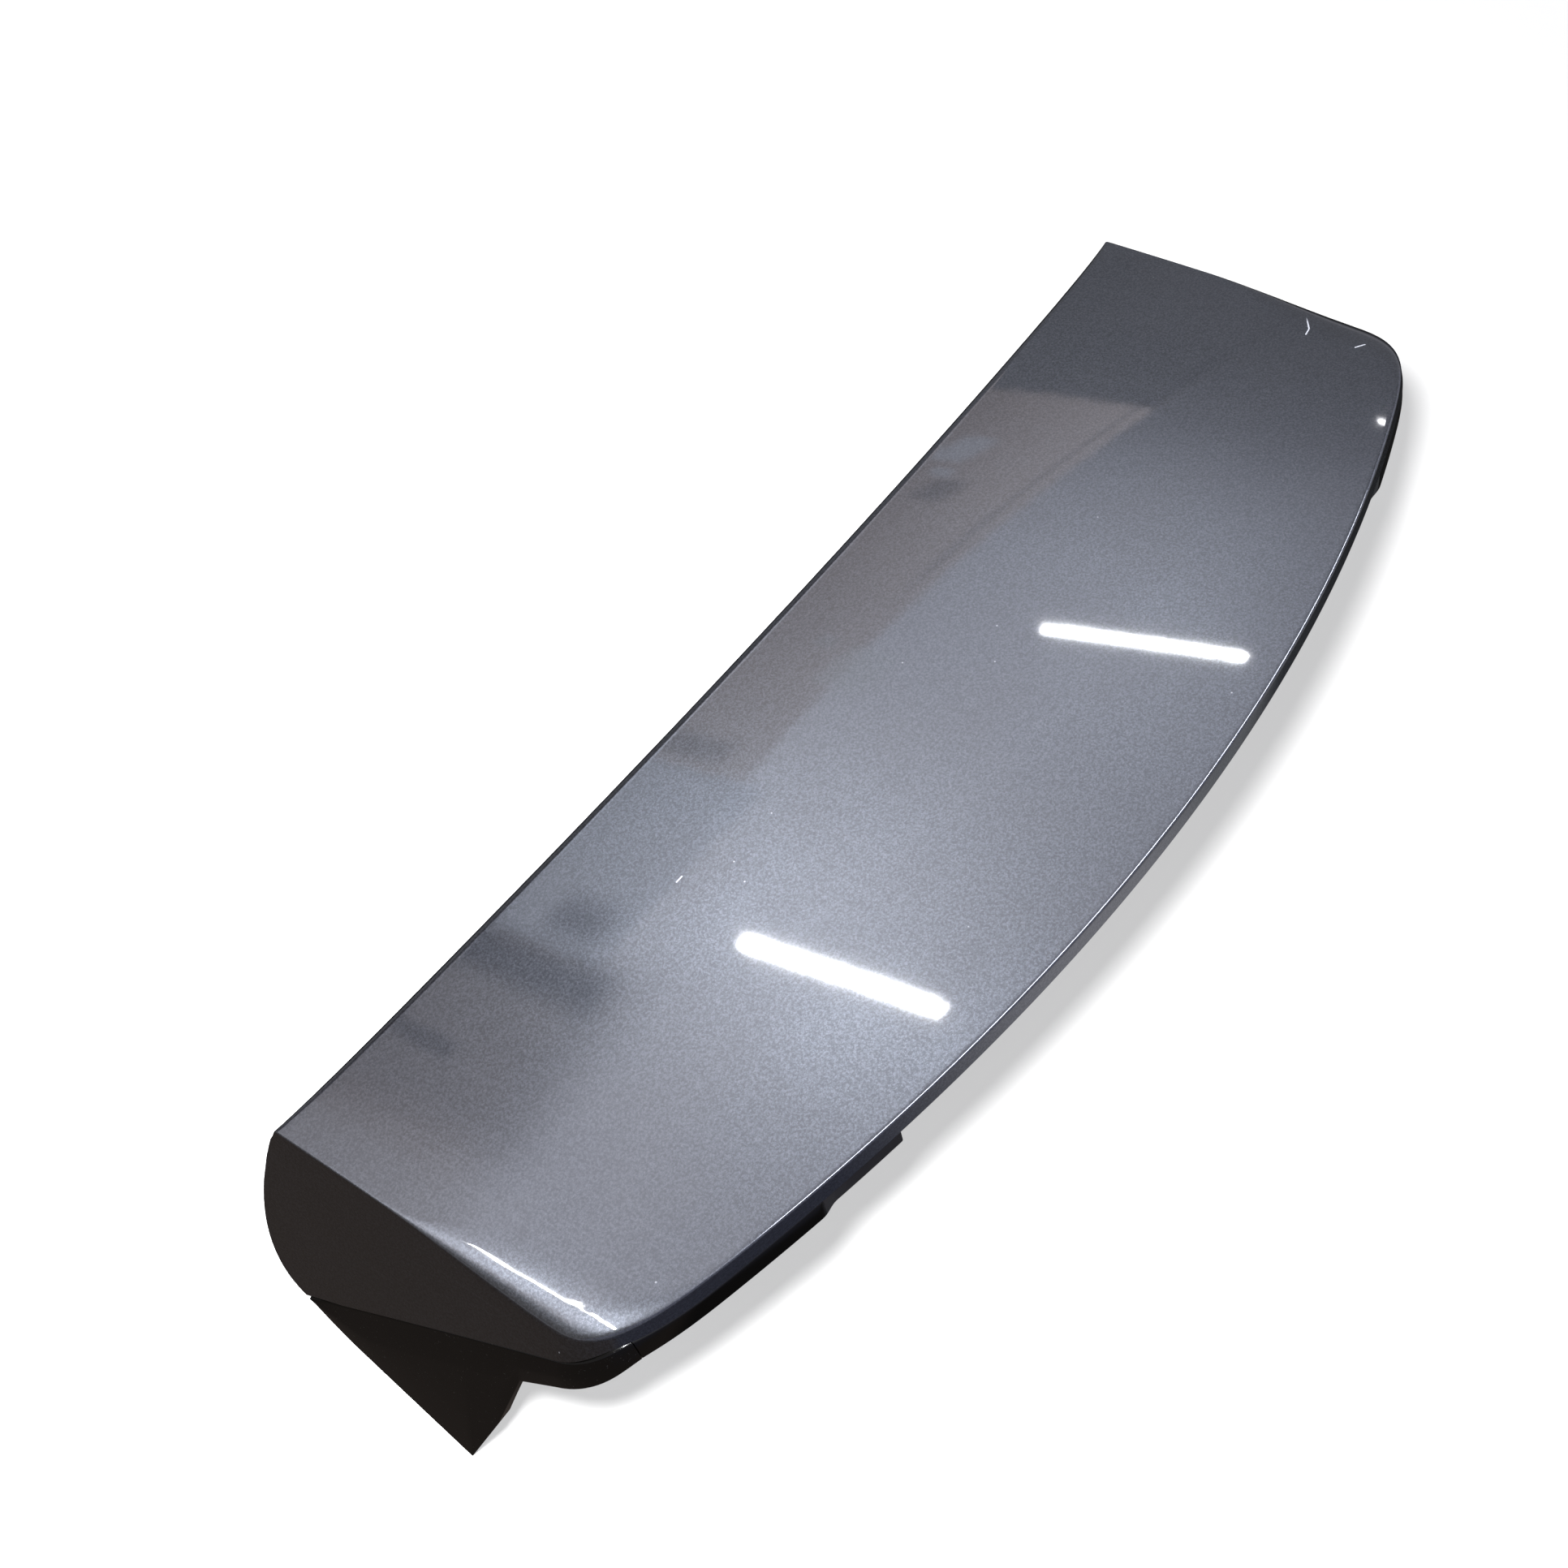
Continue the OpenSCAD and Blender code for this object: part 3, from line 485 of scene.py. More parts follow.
def fin_mesh():
    """Right fin: for each place along the side a flange, the ridged face and the turned-in lower edge.

    The path's points hang below the skin's edge by the wall's height, the ridge and the fin's depth there, and
    near the seam they blend into the lower shell's profile.
    """
    stops = [NOSE_BACK + 2, 20, 34, FIN_FLAT_BACK, FIN_TIP_BACK, FIN_TIP_BACK + TIP_FLAT, FIN_BEND_BACK,
             FIN_END_BACK, S_SIDE, SEAM_S - SEAM_HALF]
    s = spread(stops, [5, 6, 10, 24, 2, 9, 10, 10, 20])
    drop, low, flare = wall_h(s), fin_low(s), rim_flare(s)
    tall = low - drop
    thin = np.minimum(1, tall / 14)
    back = SKIN_WALL * np.sqrt(1 + flare**2) + CLIP_GAP
    ridge = np.minimum(SIDE_BAND_H, 0.55 * tall)
    turn = mix(FIN_RETURN, FIN_WALL + STEP_IN, ease(part_of(s, FIN_TIP_BACK, FIN_END_BACK)))
    lift = STEP_UP * ease(part_of(s, 18, 30)) * ease(part_of(s, FIN_TIP_BACK + 2 * TIP_FLAT, FIN_TIP_BACK))
    near_seam = ease(part_of(s, S_SIDE, SEAM_S))
    path = np.stack([
        vec(back, TUCK_H - drop),
        vec(back, -drop - RIM_GAP * thin),
        vec(POD_INSET, -drop - (RIM_GAP + SEAM_DROP) * thin),
        vec(mix(-POD_INSET, POD_INSET + 0.5, near_seam), -drop - ridge),
        vec(mix(POD_INSET, POD_INSET + 1, near_seam), -low),
        vec(POD_INSET + STEP_IN, -low),
        vec(POD_INSET + STEP_IN + 2, -low + lift),
        vec(POD_INSET + turn, -low + lift),
    ], axis=1)
    heading, e = rim_heading(s), rim_plan(s)
    seam = np.array([SEAM_S])
    aim = shell_heading(seam + SEAM_HALF)[0]
    skew = -(aim @ rim_heading(seam)[0]) / (aim @ rim_out(seam)[0])
    out = rim_out(s) - heading * (skew * near_seam)[:, None]
    e_z = roof_z(e[:, 0], e[:, 1])

    def face(q):
        reach = -flare[:, None] * q[..., 1] - q[..., 0]
        plan = e[:, None] + out[:, None] * reach[..., None]
        return rest(vec(plan[..., 0], plan[..., 1], e_z[:, None] + q[..., 1]))

    outer = face(round_path(path, FIN_RADII))
    wall = np.repeat((FIN_WALL * thin)[:, None], path.shape[1], axis=1)
    inner = face(round_path(moved_path(path, wall), FIN_INNER_RADII))
    return grid_mesh(outer.swapaxes(0, 1), inner.swapaxes(0, 1))


SHARP_FROM = 38


def add_piece(name, points, quads, node, material, gloss_share=None):
    """A mesh object in metres that stands for a solid node and keeps inside that node's box.

    gloss_share, if given, is stored per point for the material.
    """
    low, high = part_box(node)
    points = np.clip(points / 1000, np.array(low), np.array(high))
    mesh = bpy.data.meshes.new(name)
    mesh.vertices.add(len(points))
    mesh.vertices.foreach_set("co", points.astype(np.float32).ravel())
    mesh.loops.add(quads.size)
    mesh.loops.foreach_set("vertex_index", quads.astype(np.int32).ravel())
    mesh.polygons.add(len(quads))
    mesh.polygons.foreach_set("loop_start", np.arange(0, quads.size, 4, dtype=np.int32))
    mesh.polygons.foreach_set("use_smooth", np.ones(len(quads), bool))
    mesh.update(calc_edges=True)
    mesh.set_sharp_from_angle(angle=math.radians(SHARP_FROM))
    if gloss_share is not None:
        share = mesh.attributes.new("gloss_share", "FLOAT", "POINT")
        share.data.foreach_set("value", gloss_share.astype(np.float32))
    mesh.materials.append(material)
    piece = bpy.data.objects.new(name, mesh)
    bpy.context.scene.collection.objects.link(piece)
    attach(piece, "root")
    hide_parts(node)
    return piece


class Value:
    """Socket of a shader's maths. Each operator adds the Math node that it names."""

    def __init__(self, shader, socket):
        self.shader, self.socket = shader, socket

    def math(self, operation, *others):
        return self.shader.node("ShaderNodeMath", {"operation": operation}, {0: self, **dict(enumerate(others, 1))})

    def __add__(self, other):
        return self.math("ADD", other)

    def __sub__(self, other):
        return self.math("SUBTRACT", other)

    def __mul__(self, other):
        return self.math("MULTIPLY", other)

    def __truediv__(self, other):
        return self.math("DIVIDE", other)

    def __rsub__(self, other):
        return self.shader.node("ShaderNodeMath", {"operation": "SUBTRACT"}, {0: other, 1: self})

    __radd__ = __add__
    __rmul__ = __mul__


class Shader:
    """Node tree of one material or of the world, and the one way to add a node to it."""

    def __init__(self, owner):
        owner.use_nodes = True
        self.tree = owner.node_tree
        self.tree.nodes.clear()

    def node(self, kind, settings=None, inputs=None, output=0):
        n = self.tree.nodes.new(kind)
        for key, value in (settings or {}).items():
            if key == "stops":
                ramp = n.color_ramp
                while len(ramp.elements) < len(value):
                    ramp.elements.new(1.0)
                for element, (place, color) in zip(ramp.elements, value):
                    element.position = place
                    element.color = (*color, 1.0) if len(color) == 3 else color
            else:
                setattr(n, key, value)
        for key, value in (inputs or {}).items():
            if isinstance(value, Value):
                self.tree.links.new(value.socket, n.inputs[key])
            else:
                n.inputs[key].default_value = value
        return Value(self, n.outputs[output])

    def place(self):
        return self.node("ShaderNodeTexCoord", output="Object")

    def vector(self, operation, a, b=None, output=0):
        inputs = {0: a} if b is None else {0: a, 1: b}
        return self.node("ShaderNodeVectorMath", {"operation": operation}, inputs, output)

    def noise(self, place, scale, detail=2.0, rough=0.5, output=0):
        return self.node("ShaderNodeTexNoise", {}, {
            "Vector": place, "Scale": scale, "Detail": detail, "Roughness": rough}, output)

    def span(self, value, low, high, to_low=0.0, to_high=1.0, smooth=True):
        """value's range low..high turned into to_low..to_high, and held at its ends."""
        kind = "SMOOTHSTEP" if smooth else "LINEAR"
        return self.node("ShaderNodeMapRange", {"interpolation_type": kind}, {
            "Value": value, "From Min": low, "From Max": high, "To Min": to_low, "To Max": to_high})

    def blend(self, factor, a, b):
        """Colour between a and b."""
        return self.node("ShaderNodeMix", {"data_type": "RGBA"}, {0: factor, 6: a, 7: b}, 2)

    def ramp(self, value, *stops):
        """Colour read off the stops, each a place in 0..1 and a colour, at value."""
        return self.node("ShaderNodeValToRGB", {"stops": stops}, {0: value})

    def surface(self, **inputs):
        """Principled shader with these inputs, as the material's surface."""
        self.output(self.node("ShaderNodeBsdfPrincipled", {}, {k.replace("_", " "): v for k, v in inputs.items()}))

    def output(self, shader):
        of_world = self.tree in [w.node_tree for w in bpy.data.worlds]
        end = self.tree.nodes.new("ShaderNodeOutputWorld" if of_world else "ShaderNodeOutputMaterial")
        self.tree.links.new(shader.socket, end.inputs["Surface"])


def grey(v, tint=(1, 1, 1)):
    return tuple(v * t for t in tint) + (1.0,)


def new_shader(name):
    material = bpy.data.materials.new(name)
    return material, Shader(material)


# Marks on the painted top, in metres: both ends and the half width of each scratch; the last is a chip
SCRATCHES = [
    ((0.5678, -0.0064, 0.2211), (0.5406, -0.0233, 0.2287), 0.0007),
    ((0.5406, -0.0233, 0.2287), (0.5310, -0.0247, 0.2302), 0.0006),
    ((0.5362, -0.0694, 0.2406), (0.5453, -0.0745, 0.2406), 0.0007),
    ((-0.5868, -0.0576, 0.2311), (-0.5885, -0.0680, 0.2334), 0.0008),
    ((-0.2618, 0.0783, 0.2289), (-0.2559, 0.0780, 0.2293), 0.0006),
]


def line_mask(sh, place, a, b, half):
    """1 along the straight line from a to b, fading to 0 between 0.5 and 1.5 times half away from it."""
    a, b = np.array(a), np.array(b)
    way = b - a
    to = sh.vector("SUBTRACT", place, tuple(a))
    along = sh.vector("DOT_PRODUCT", to, tuple(way / (way @ way)), output="Value")
    along = sh.node("ShaderNodeClamp", {}, {"Value": along, "Min": 0.0, "Max": 1.0})
    foot = sh.node("ShaderNodeVectorMath", {"operation": "SCALE"}, {0: tuple(way), "Scale": along})
    gap = sh.vector("DISTANCE", to, foot, output="Value")
    return sh.span(gap, half * 0.5, half * 1.5, 1.0, 0.0)


# The paint's textures, in cells per metre, and its colours
FLAKE_SCALE, GRAIN_SCALE, CLOUD_SCALE, CHIP_SCALE, HAIR_STRETCH = 1500.0, 480.0, 9.0, 26.0, (700.0, 7.0, 7.0)
DARK_FLAKE, BRIGHT_FLAKE = (0.074, 0.081, 0.095, 1), (0.140, 0.151, 0.175, 1)
GRAIN_COLOR, CLOUD_COLOR = (0.048, 0.052, 0.061, 1), (0.085, 0.081, 0.086, 1)
HAIR_COLOR, MARK_COLOR = (0.22, 0.23, 0.26, 1), (0.62, 0.63, 0.66, 1)


def body_paint():
    """Metallic dark grey paint under clear coat, with its flake, scratches, hairlines and chips."""
    material, sh = new_shader("body_paint")
    place = sh.place()
    flake = sh.node("ShaderNodeTexVoronoi", {"feature": "F1"}, {"Vector": place, "Scale": FLAKE_SCALE}, "Color")
    spark = sh.node("ShaderNodeSeparateXYZ", {}, {0: flake})
    cloud = sh.noise(place, CLOUD_SCALE, 3.0, 0.55)
    base = sh.blend(sh.span(spark, 0.0, 1.0, smooth=False), DARK_FLAKE, BRIGHT_FLAKE)
    grain = sh.noise(place, GRAIN_SCALE, 2.0, 0.6)
    base = sh.blend(sh.span(grain, 0.36, 0.66, 0.0, 0.75), base, GRAIN_COLOR)
    base = sh.blend(sh.span(cloud, 0.3, 0.7, 0.0, 0.16), base, CLOUD_COLOR)
    marks = None
    for a, b, half in SCRATCHES:
        mask = line_mask(sh, place, a, b, half)
        marks = mask if marks is None else marks.math("MAXIMUM", mask)
    dots = sh.node("ShaderNodeTexVoronoi", {"feature": "F1"}, {"Vector": place, "Scale": CHIP_SCALE}, "Distance")
    chips = sh.span(dots, 0.012, 0.028, 1.0, 0.0)
    marks = marks.math("MAXIMUM", chips * 0.55)
    swirl = sh.vector("MULTIPLY", place, HAIR_STRETCH)
    hair = sh.span(sh.noise(swirl, 1.0, 1.0), 0.60, 0.74) * sh.span(sh.noise(place, 5.0, 1.0), 0.42, 0.62)
    base = sh.blend(hair * 0.11, base, HAIR_COLOR)
    color = sh.blend(marks, base, MARK_COLOR)
    metal = sh.span(marks, 0.0, 1.0, 1.0, 0.1, smooth=False)
    rough = sh.span(cloud, 0.3, 0.7, 0.33, 0.37) + marks * 0.2 + hair * 0.05
    coat = 1.0 - marks * 0.9
    bump = sh.node("ShaderNodeBump", {}, {"Strength": 0.12, "Distance": 0.0004, "Height": spark})
    sh.surface(Base_Color=color, Metallic=metal, Roughness=rough, Coat_Weight=coat, Coat_Roughness=0.03,
               Coat_IOR=2.05, Normal=bump)
    return material


GLOSS_BLACK = (0.0028, 0.0025, 0.0022, 1)


def gloss_black():
    """Gloss black moulding with faint dust and a slightly uneven gloss."""
    material, sh = new_shader("gloss_black")
    place = sh.place()
    cloud = sh.noise(place, 14.0, 3.0, 0.6)
    dust = sh.span(sh.noise(place, 420.0, 2.0, 0.6), 0.66, 0.74)
    color = sh.blend(dust * 0.2, GLOSS_BLACK, (0.07, 0.065, 0.06, 1))
    rough = sh.span(cloud, 0.3, 0.7, 0.10, 0.17) + dust * 0.2
    bump = sh.node("ShaderNodeBump", {}, {"Strength": 0.1, "Distance": 0.0006, "Height": sh.noise(place, 60.0, 1.0)})
    sh.surface(Base_Color=color, Roughness=rough, Specular_IOR_Level=0.5, Normal=bump)
    return material


def black_plastic(has_band=False):
    """Satin moulded black plastic with a fine grain; a band of it may be as glossy as the fins."""
    material, sh = new_shader("shell_black" if has_band else "black_plastic")
    place = sh.place()
    grain = sh.noise(place, 1500.0, 2.0, 0.6)
    cloud = sh.noise(place, 11.0, 3.0, 0.6)
    color = sh.blend(sh.span(cloud, 0.3, 0.7), (0.017, 0.016, 0.017, 1), (0.026, 0.025, 0.026, 1))
    rough = sh.span(cloud, 0.3, 0.7, 0.26, 0.36)
    if has_band:
        gloss = sh.node("ShaderNodeAttribute", {"attribute_name": "gloss_share"}, output="Fac")
        color = sh.blend(gloss, color, GLOSS_BLACK)
        rough = rough * (1.0 - gloss) + sh.span(cloud, 0.3, 0.7, 0.07, 0.12) * gloss
        grain = grain * (1.0 - gloss)
    bump = sh.node("ShaderNodeBump", {}, {"Strength": 0.15, "Distance": 0.0002, "Height": grain})
    sh.surface(Base_Color=color, Roughness=rough, Normal=bump)
    return material


def foam():
    """Closed-cell foam: dull black with small cells."""
    material, sh = new_shader("foam")
    place = sh.place()
    cells = sh.node("ShaderNodeTexVoronoi", {"feature": "F1"}, {"Vector": place, "Scale": 900.0}, "Distance")
    color = sh.blend(sh.span(cells, 0.0, 0.8), (0.02, 0.02, 0.021, 1), (0.05, 0.05, 0.052, 1))
    bump = sh.node("ShaderNodeBump", {}, {"Strength": 0.6, "Distance": 0.0006, "Height": cells})
    sh.surface(Base_Color=color, Roughness=sh.span(cells, 0.0, 0.8, 0.82, 0.95), Normal=bump)
    return material


# Thread on the studs: turns per metre, and the heights between which it fades out into the head
THREAD_TURNS, THREAD_END = 1000, (0.1452, 0.1456)


def steel(name, tint, rough, turns):
    """Metal with fine brushing, and with thread grooves round the studs' shanks if turns is set."""
    material, sh = new_shader(name)
    place = sh.place()
    stretch = sh.vector("MULTIPLY", place, (900.0, 900.0, 90.0))
    brush = sh.noise(stretch, 1.0, 2.0, 0.6)
    color = sh.blend(sh.span(brush, 0.3, 0.7), grey(0.82, tint), grey(1.0, tint))
    height = brush * 0.15
    if turns:
        z = sh.node("ShaderNodeSeparateXYZ", {}, {0: place}, 2)
        ring = (z * (2 * math.pi * THREAD_TURNS)).math("SINE")
        shank = sh.span(z, *THREAD_END, 1.0, 0.0)
        height = ring * shank + height
    bump = sh.node("ShaderNodeBump", {}, {"Strength": 0.7 if turns else 0.2, "Distance": 0.0005, "Height": height})
    sh.surface(Base_Color=color, Metallic=1.0, Roughness=sh.span(brush, 0.3, 0.7, rough, rough + 0.1), Normal=bump)
    return material


def nylon():
    """Natural nylon: pale, waxy and slightly see-through at its edges."""
    material, sh = new_shader("clip_plastic")
    place = sh.place()
    cloud = sh.noise(place, 120.0, 2.0, 0.5)
    color = sh.blend(sh.span(cloud, 0.3, 0.7), (0.70, 0.69, 0.64, 1), (0.80, 0.79, 0.74, 1))
    sh.surface(Base_Color=color, Roughness=sh.span(cloud, 0.3, 0.7, 0.36, 0.46), Subsurface_Weight=0.15,
               Subsurface_Radius=(0.002, 0.002, 0.0015))
    return material


paint, gloss = body_paint(), gloss_black()
plastic, shell_black = black_plastic(), black_plastic(has_band=True)
foam_black = foam()

skin_points, skin_quads = skin_mesh()
add_piece("painted_skin", skin_points, skin_quads, "outer_skin", paint)
shell_points, shell_quads, shell_gloss = shell_mesh()
add_piece("black_lower_shell", shell_points, shell_quads, "lower_shell", shell_black, shell_gloss)
fin_points, fin_quads = fin_mesh()
add_piece("right_end_fin", fin_points, fin_quads, "right_fin", gloss)
add_piece("left_end_fin", fin_points * FLIP, fin_quads[:, ::-1], "left_fin", gloss)

# Nodes that are shown as they are, and their materials
kept = {
    "left_fin_seal": foam_black, "right_fin_seal": foam_black, "front_seal": foam_black, "stud_gaskets": foam_black,
    "locating_pins": plastic, "fin_clips": steel("spring_steel", (0.46, 0.46, 0.47), 0.28, turns=False),
    "mounting_studs": steel("plated_steel", (0.66, 0.62, 0.50), 0.25, turns=True), "retaining_clips": nylon(),
}
for node_name, material in kept.items():
    for slot in nodes[node_name].material_slots:
        slot.material = material


def stage_mesh(name, points, faces, material):
    mesh = bpy.data.meshes.new(name)
    mesh.from_pydata(points, [], faces)
    mesh.materials.append(material)
    thing = bpy.data.objects.new(name, mesh)
    bpy.context.scene.collection.objects.link(thing)
    return thing


# What the floor gives off for the camera near the part, so that the key light brings it up to white there
FLOOR_GLOW = 0.53


def floor_material():
    """White for the camera, with the key light's soft shadow.

    Reflections see a dim floor instead, which glows with painted colour rather than being lit: painted shade right next
    to the part, and painted reflections that are warm beside the near end and bluish and paler behind the trailing
    edge.
    """
    material, sh = new_shader("floor")
    camera = sh.node("ShaderNodeLightPath", output="Is Camera Ray")
    matt = sh.node("ShaderNodeBsdfDiffuse", {}, {"Color": grey(0.05)})
    away = sh.vector("LENGTH", sh.place(), output="Value")
    level = sh.blend(sh.span(away, 1.1, 2.6), grey(FLOOR_GLOW), grey(0.97))
    glow = sh.node("ShaderNodeEmission", {}, {"Color": level, "Strength": 1.0})
    seen = sh.node("ShaderNodeAddShader", {}, {0: matt, 1: glow})
    x, y = (sh.node("ShaderNodeSeparateXYZ", {}, {0: sh.place()}, k) for k in (0, 1))
    # Painted reflection and shade for all rays but the camera's: warm glow beside the near end, near-black glow next to
    # the part as painted shade, pale or bluish glow behind the trailing edge, greyer far off
    dim = sh.blend(sh.span(x, -0.62, -0.54), grey(0.060, (1.2, 0.97, 0.85)), grey(0.014))
    pale = sh.blend(sh.span(x, -0.38, 0.02), (0.07, 0.075, 0.11, 1), (0.52, 0.52, 0.57, 1))
    pale = sh.blend(sh.span(x, 0.12, 0.36), pale, (0.27, 0.28, 0.30, 1))
    dim = sh.blend(sh.span(y, -0.48, -0.42, 1.0, 0.0), dim, pale)
    dim = sh.blend(sh.span(away, 1.5, 3.0), dim, (0.30, 0.30, 0.33, 1))
    # The floor's painted glow, which reflections and bounced light see in place of a lit floor
    dark = sh.node("ShaderNodeEmission", {}, {"Color": dim, "Strength": 1.0})
    sh.output(sh.node("ShaderNodeMixShader", {}, {0: camera, 1: dark, 2: seen}))
    return material


FAR = 60.0
FLOOR_CORNERS = [(-FAR, -FAR, 0), (FAR, -FAR, 0), (FAR, FAR, 0), (-FAR, FAR, 0)]
floor = stage_mesh("floor", FLOOR_CORNERS, [(0, 1, 2, 3)], floor_material())


CEILING_HEIGHT = 2.2


def tube(name, path, width, strength):
    """Ceiling tube: a glowing strip along the path, which the camera doesn't see."""
    material, sh = new_shader(name)
    sh.output(sh.node("ShaderNodeEmission", {}, {"Color": (0.96, 0.98, 1.0, 1.0), "Strength": strength}))
    line = np.array([(x, y, CEILING_HEIGHT) for x, y in path])
    side = np.cross(unit(np.gradient(line, axis=0)), (0, 0, 1)) * width / 2
    points = np.stack([line - side, line + side]).reshape(-1, 3)
    strip = stage_mesh(name, points.tolist(), grid_quads(2, len(line)).tolist(), material)
    strip.visible_camera = False


# Path in plan, width and strength of each tube; the last two make the long highlight on the near shoulder
TUBES = [
    ([(1.989, 1.714), (2.108, 1.164)], 0.040, 120.0),
    ([(0.485, 1.709), (0.528, 1.145)], 0.040, 235.0),
    ([(-1.14, 1.625), (-1.22, 1.575), (-1.29, 1.545), (-1.36, 1.534), (-1.437, 1.512), (-1.500, 1.438),
      (-1.50, 1.35)], 0.020, 140.0),
    ([(-1.50, 1.35), (-1.54, 1.20), (-1.68, 1.00), (-1.83, 0.76), (-2.12, 0.40), (-2.84, -0.33)], 0.090, 140.0),
]
for number, (path, width, strength) in enumerate(TUBES):
    tube(f"ceiling_tube_{number + 1}", path, width, strength)

# Room that reflections see, as a function of the place (u, v) at which a direction meets a ceiling 1 above
# the part; w is v measured from the line, slightly turned, where the ceiling meets the front wall
world = bpy.data.worlds.new("room")
bpy.context.scene.world = world
sky = Shader(world)
way = sky.node("ShaderNodeTexCoord", output="Generated")
x, y, z = (sky.node("ShaderNodeSeparateXYZ", {}, {0: way}, k) for k in range(3))
up = z.math("MAXIMUM", 0.03)  # kept above 0 so that directions near the horizon stay finite
u, v = x / up, y / up


def patch(u0, u1, v0, v1, soft):
    """1 inside a rectangle of the ceiling's plane, seen from the part, with edges that soft."""
    inside = sky.span(u, u0 - soft, u0 + soft) * sky.span(u, u1 - soft, u1 + soft, 1.0, 0.0)
    return inside * sky.span(v, v0 - soft, v0 + soft) * sky.span(v, v1 - soft, v1 + soft, 1.0, 0.0)


w = v - u * 0.105
front_wall = sky.ramp(
    sky.span(w, 0.952, 1.95, smooth=False),
    (0.0, (0.88, 0.80, 0.82)), (0.20, (0.60, 0.53, 0.53)), (0.42, (0.34, 0.29, 0.28)), (1.0, (0.12, 0.11, 0.11)),
)
ceiling = sky.ramp(
    sky.span(u, -0.2, 1.7, smooth=False),
    (0.0, (1.16, 1.17, 1.32)), (0.45, (1.10, 1.12, 1.27)), (0.62, (0.88, 0.91, 1.06)), (1.0, (0.34, 0.35, 0.41)),
)
depth = sky.ramp(
    sky.span(v, 0.45, 0.95, smooth=False),
    (0.0, (0.62, 0.62, 0.62)), (0.35, (0.76, 0.76, 0.76)), (0.72, (1.12, 1.12, 1.12)), (1.0, (1.16, 1.16, 1.16)),
)
ceiling = sky.node("ShaderNodeMix", {"data_type": "RGBA", "blend_type": "MULTIPLY"}, {0: 1.0, 6: ceiling, 7: depth}, 2)
blur = sky.span(u, 0.10, 0.32, 0.05, 0.0)
# The rolled front edge mirrors what lies beyond the curve low: a dark strip, then a paler wall further down
low = (u - 0.45) * (u - 0.45) * 0.26 + 1.145
front_wall = sky.blend(sky.span(v - low, 0.0, 0.03), front_wall, (0.035, 0.025, 0.025, 1))
front_wall = sky.blend(sky.span(v, 2.2, 4.0), front_wall, (0.33, 0.32, 0.34, 1))
on_wall = sky.span(w, 0.944 - blur, blur + 0.960)
room = sky.blend(on_wall, ceiling, front_wall)
side_wall = sky.span(u, 1.35, 2.15) * (1.0 - on_wall) + sky.span(u, 1.68, 1.72) * on_wall
room = sky.blend(side_wall, room, (0.20, 0.205, 0.23, 1))
room = sky.blend(sky.span(u, -1.6, -0.9, 1.0, 0.0), room, (0.20, 0.19, 0.19, 1))
room = sky.blend(sky.span(v, -1.4, -0.6, 1.0, 0.0), room, (0.27, 0.28, 0.38, 1))
# Things in the room: rectangle in u and v, softness of its edges, how much it covers, colour. The brightest two
# are a lamp strip at the back of the room and the small lamp whose reflection shows near the far corner
THINGS = [
    ((0.060, 0.300, 0.920, 1.400), 0.045, 0.70, (0.42, 0.40, 0.43)),
    ((0.295, 0.585, 0.984, 1.150), 0.006, 0.80, (0.88, 0.96, 1.15)),
    ((0.315, 0.370, 1.010, 1.085), 0.024, 0.75, (0.05, 0.05, 0.08)),
    ((0.240, 0.296, 0.955, 1.300), 0.022, 0.85, (0.04, 0.04, 0.06)),
    ((0.132, 0.155, 1.065, 1.300), 0.006, 0.55, (0.05, 0.05, 0.06)),
    ((0.775, 0.862, 0.993, 1.062), 0.004, 0.55, (1.05, 1.10, 1.20)),
    ((0.845, 0.868, 1.080, 1.108), 0.003, 0.50, (0.95, 1.00, 1.10)),
    ((0.600, 0.640, 1.060, 1.180), 0.010, 0.45, (0.05, 0.05, 0.06)),
    ((1.380, 1.480, 1.250, 1.310), 0.012, 0.80, (0.85, 0.90, 1.05)),
    ((1.325, 1.350, 1.235, 1.270), 0.008, 0.80, (0.85, 0.90, 1.05)),
    ((1.240, 1.315, 1.195, 1.245), 0.016, 0.50, (0.08, 0.08, 0.09)),
    ((-1.10, 0.030, 0.930, 1.400), 0.030, 0.60, (1.00, 1.00, 1.10)),
    ((-0.20, 2.200, -0.70, -0.54), 0.020, 1.00, (25.0, 25.5, 28.0)),
    ((1.834, 1.846, 0.865, 0.875), 0.002, 1.00, (60.0, 60.0, 62.0)),
]
for (u0, u1, v0, v1), soft, cover, color in THINGS:
    room = sky.blend(patch(u0, u1, v0, v1, soft) * cover, room, (*color, 1.0))
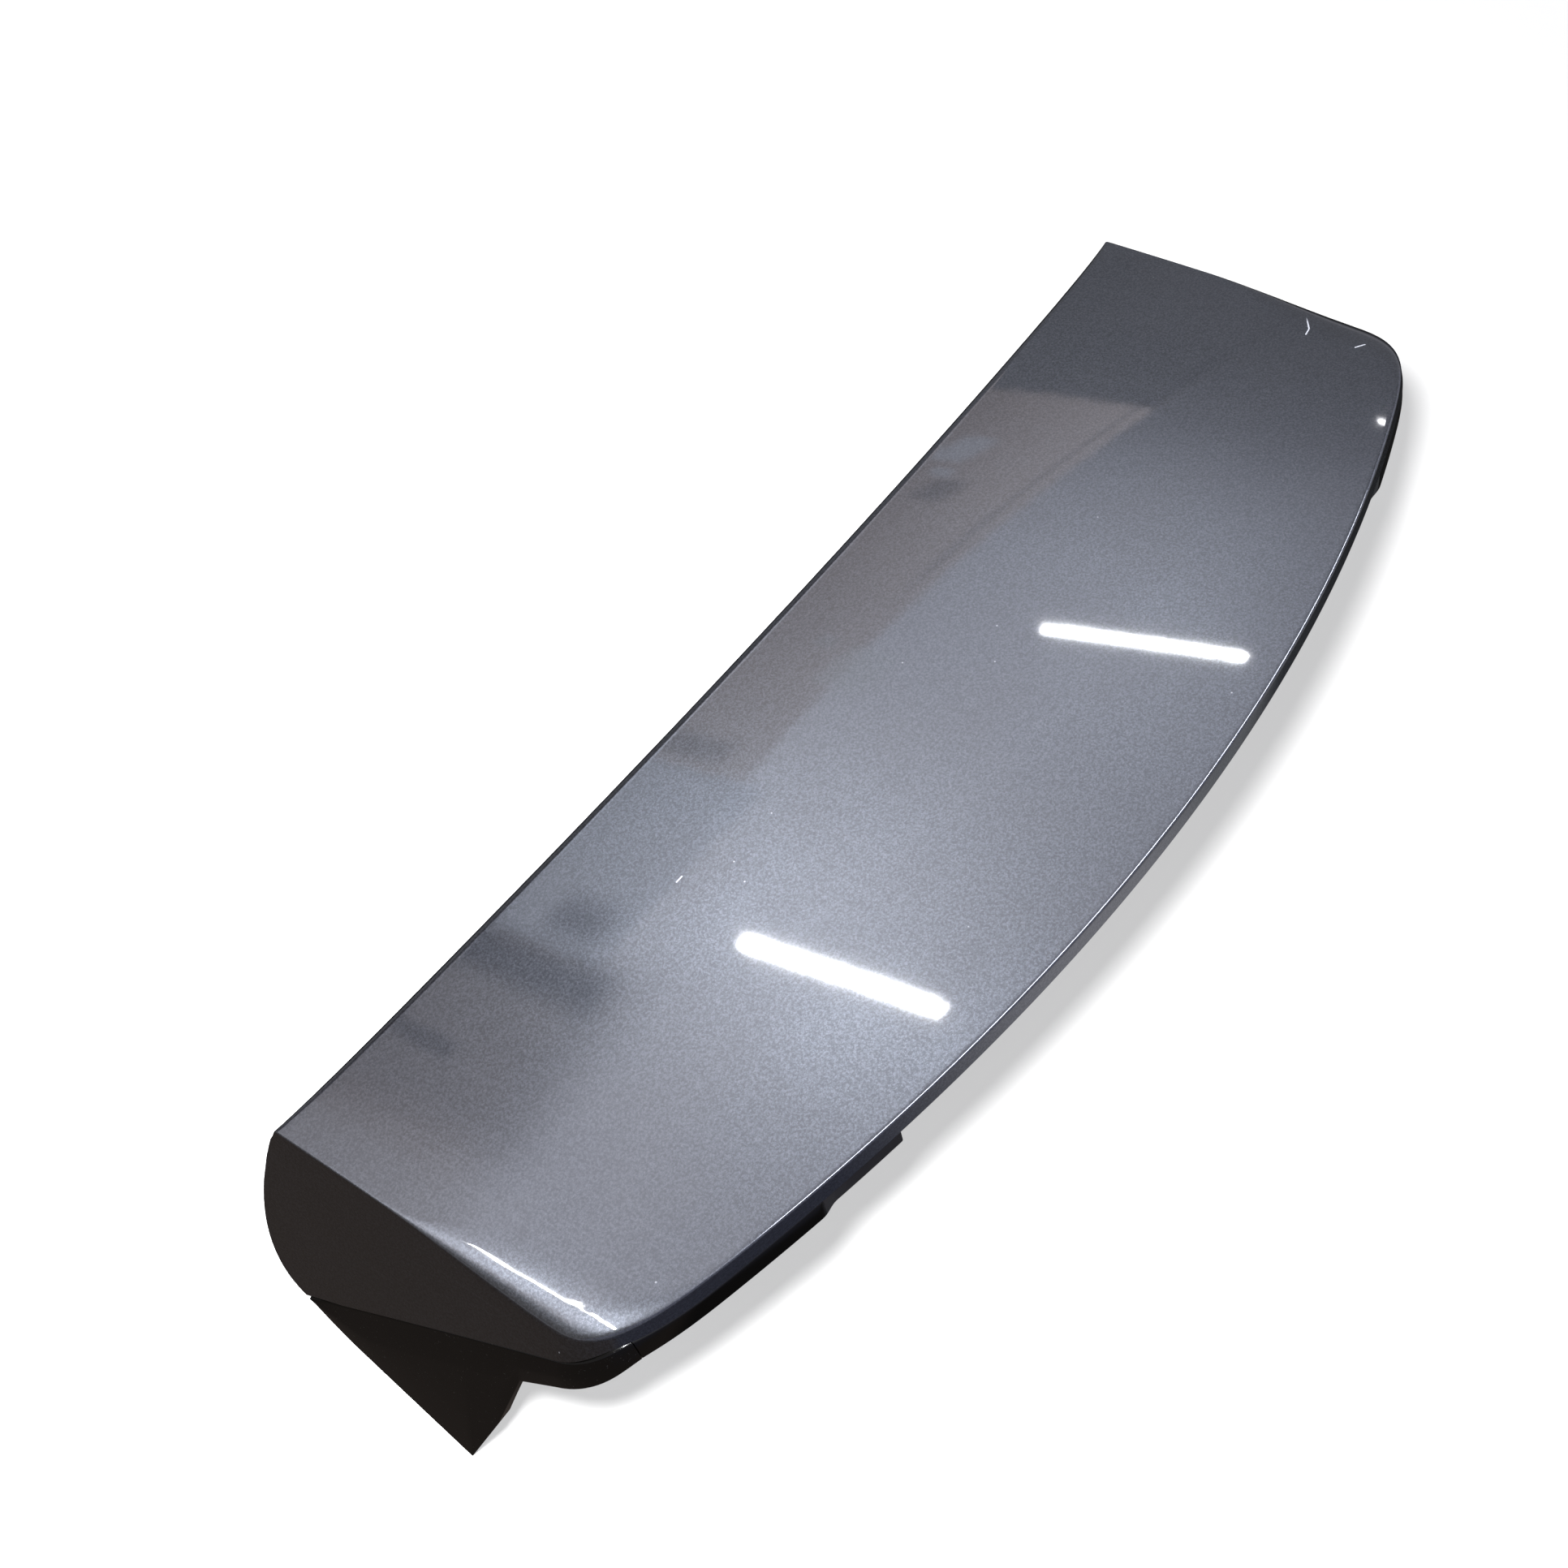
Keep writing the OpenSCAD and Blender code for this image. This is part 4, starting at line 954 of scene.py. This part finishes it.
beam = sky.span(w, 0.968, 0.972) * sky.span(w, 0.978, 0.982, 1.0, 0.0) * sky.span(u, 0.9, 1.1)
room = sky.blend(beam * 0.35, room, (0.1, 0.1, 0.11, 1))
seen = sky.node("ShaderNodeLightPath", output="Is Camera Ray")
dim = sky.node("ShaderNodeBackground", {}, {"Color": room, "Strength": 1.0})
white = sky.node("ShaderNodeBackground", {}, {"Color": grey(0.975), "Strength": 1.0})
sky.output(sky.node("ShaderNodeMixShader", {}, {0: seen, 1: dim, 2: white}))


def matrix_from(right, up, back, place):
    m = np.eye(4)
    m[:3, 0], m[:3, 1], m[:3, 2], m[:3, 3] = right, up, back, place
    return m


def placed(obj, m):
    obj.matrix_world = Matrix([list(map(float, row)) for row in m])
    bpy.context.scene.collection.objects.link(obj)
    return obj


# Camera fitted to the photo: its place, the directions to its right and behind it, and its lens
EYE = np.array([-0.8797, -0.3479, 1.6384])
RIGHT = unit(np.array([0.58935, -0.80467, 0.07194]))
BACK = unit(np.array([-0.44835, -0.25170, 0.85769]))
UP = np.cross(BACK, RIGHT)

camera_data = bpy.data.cameras.new("camera")
camera_data.sensor_width = 36.0
camera_data.lens = 48.98
camera_data.clip_end = 200.0
bpy.context.scene.camera = placed(bpy.data.objects.new("camera", camera_data), matrix_from(RIGHT, UP, BACK, EYE))

# Key light: up and left of the line of sight, so that the shadow shows just right of and below the part.
# It lights the floor only; the tubes and the room light the part
KEY_SIZE, KEY_POWER, KEY_LEFT, KEY_ABOVE = 0.27, 1000.0, 0.155, 0.185
key_data = bpy.data.lights.new("key", "AREA")
key_data.shape = "DISK"
key_data.size = KEY_SIZE
key_data.energy = KEY_POWER
key_place = matrix_from(RIGHT, UP, BACK, EYE - KEY_LEFT * RIGHT + KEY_ABOVE * UP)
key = placed(bpy.data.objects.new("key", key_data), key_place)
key.visible_glossy = False
lit = bpy.data.collections.new("lit_by_key")
lit.objects.link(floor)
key.light_linking.receiver_collection = lit

scene = bpy.context.scene
scene.view_settings.view_transform = "Standard"
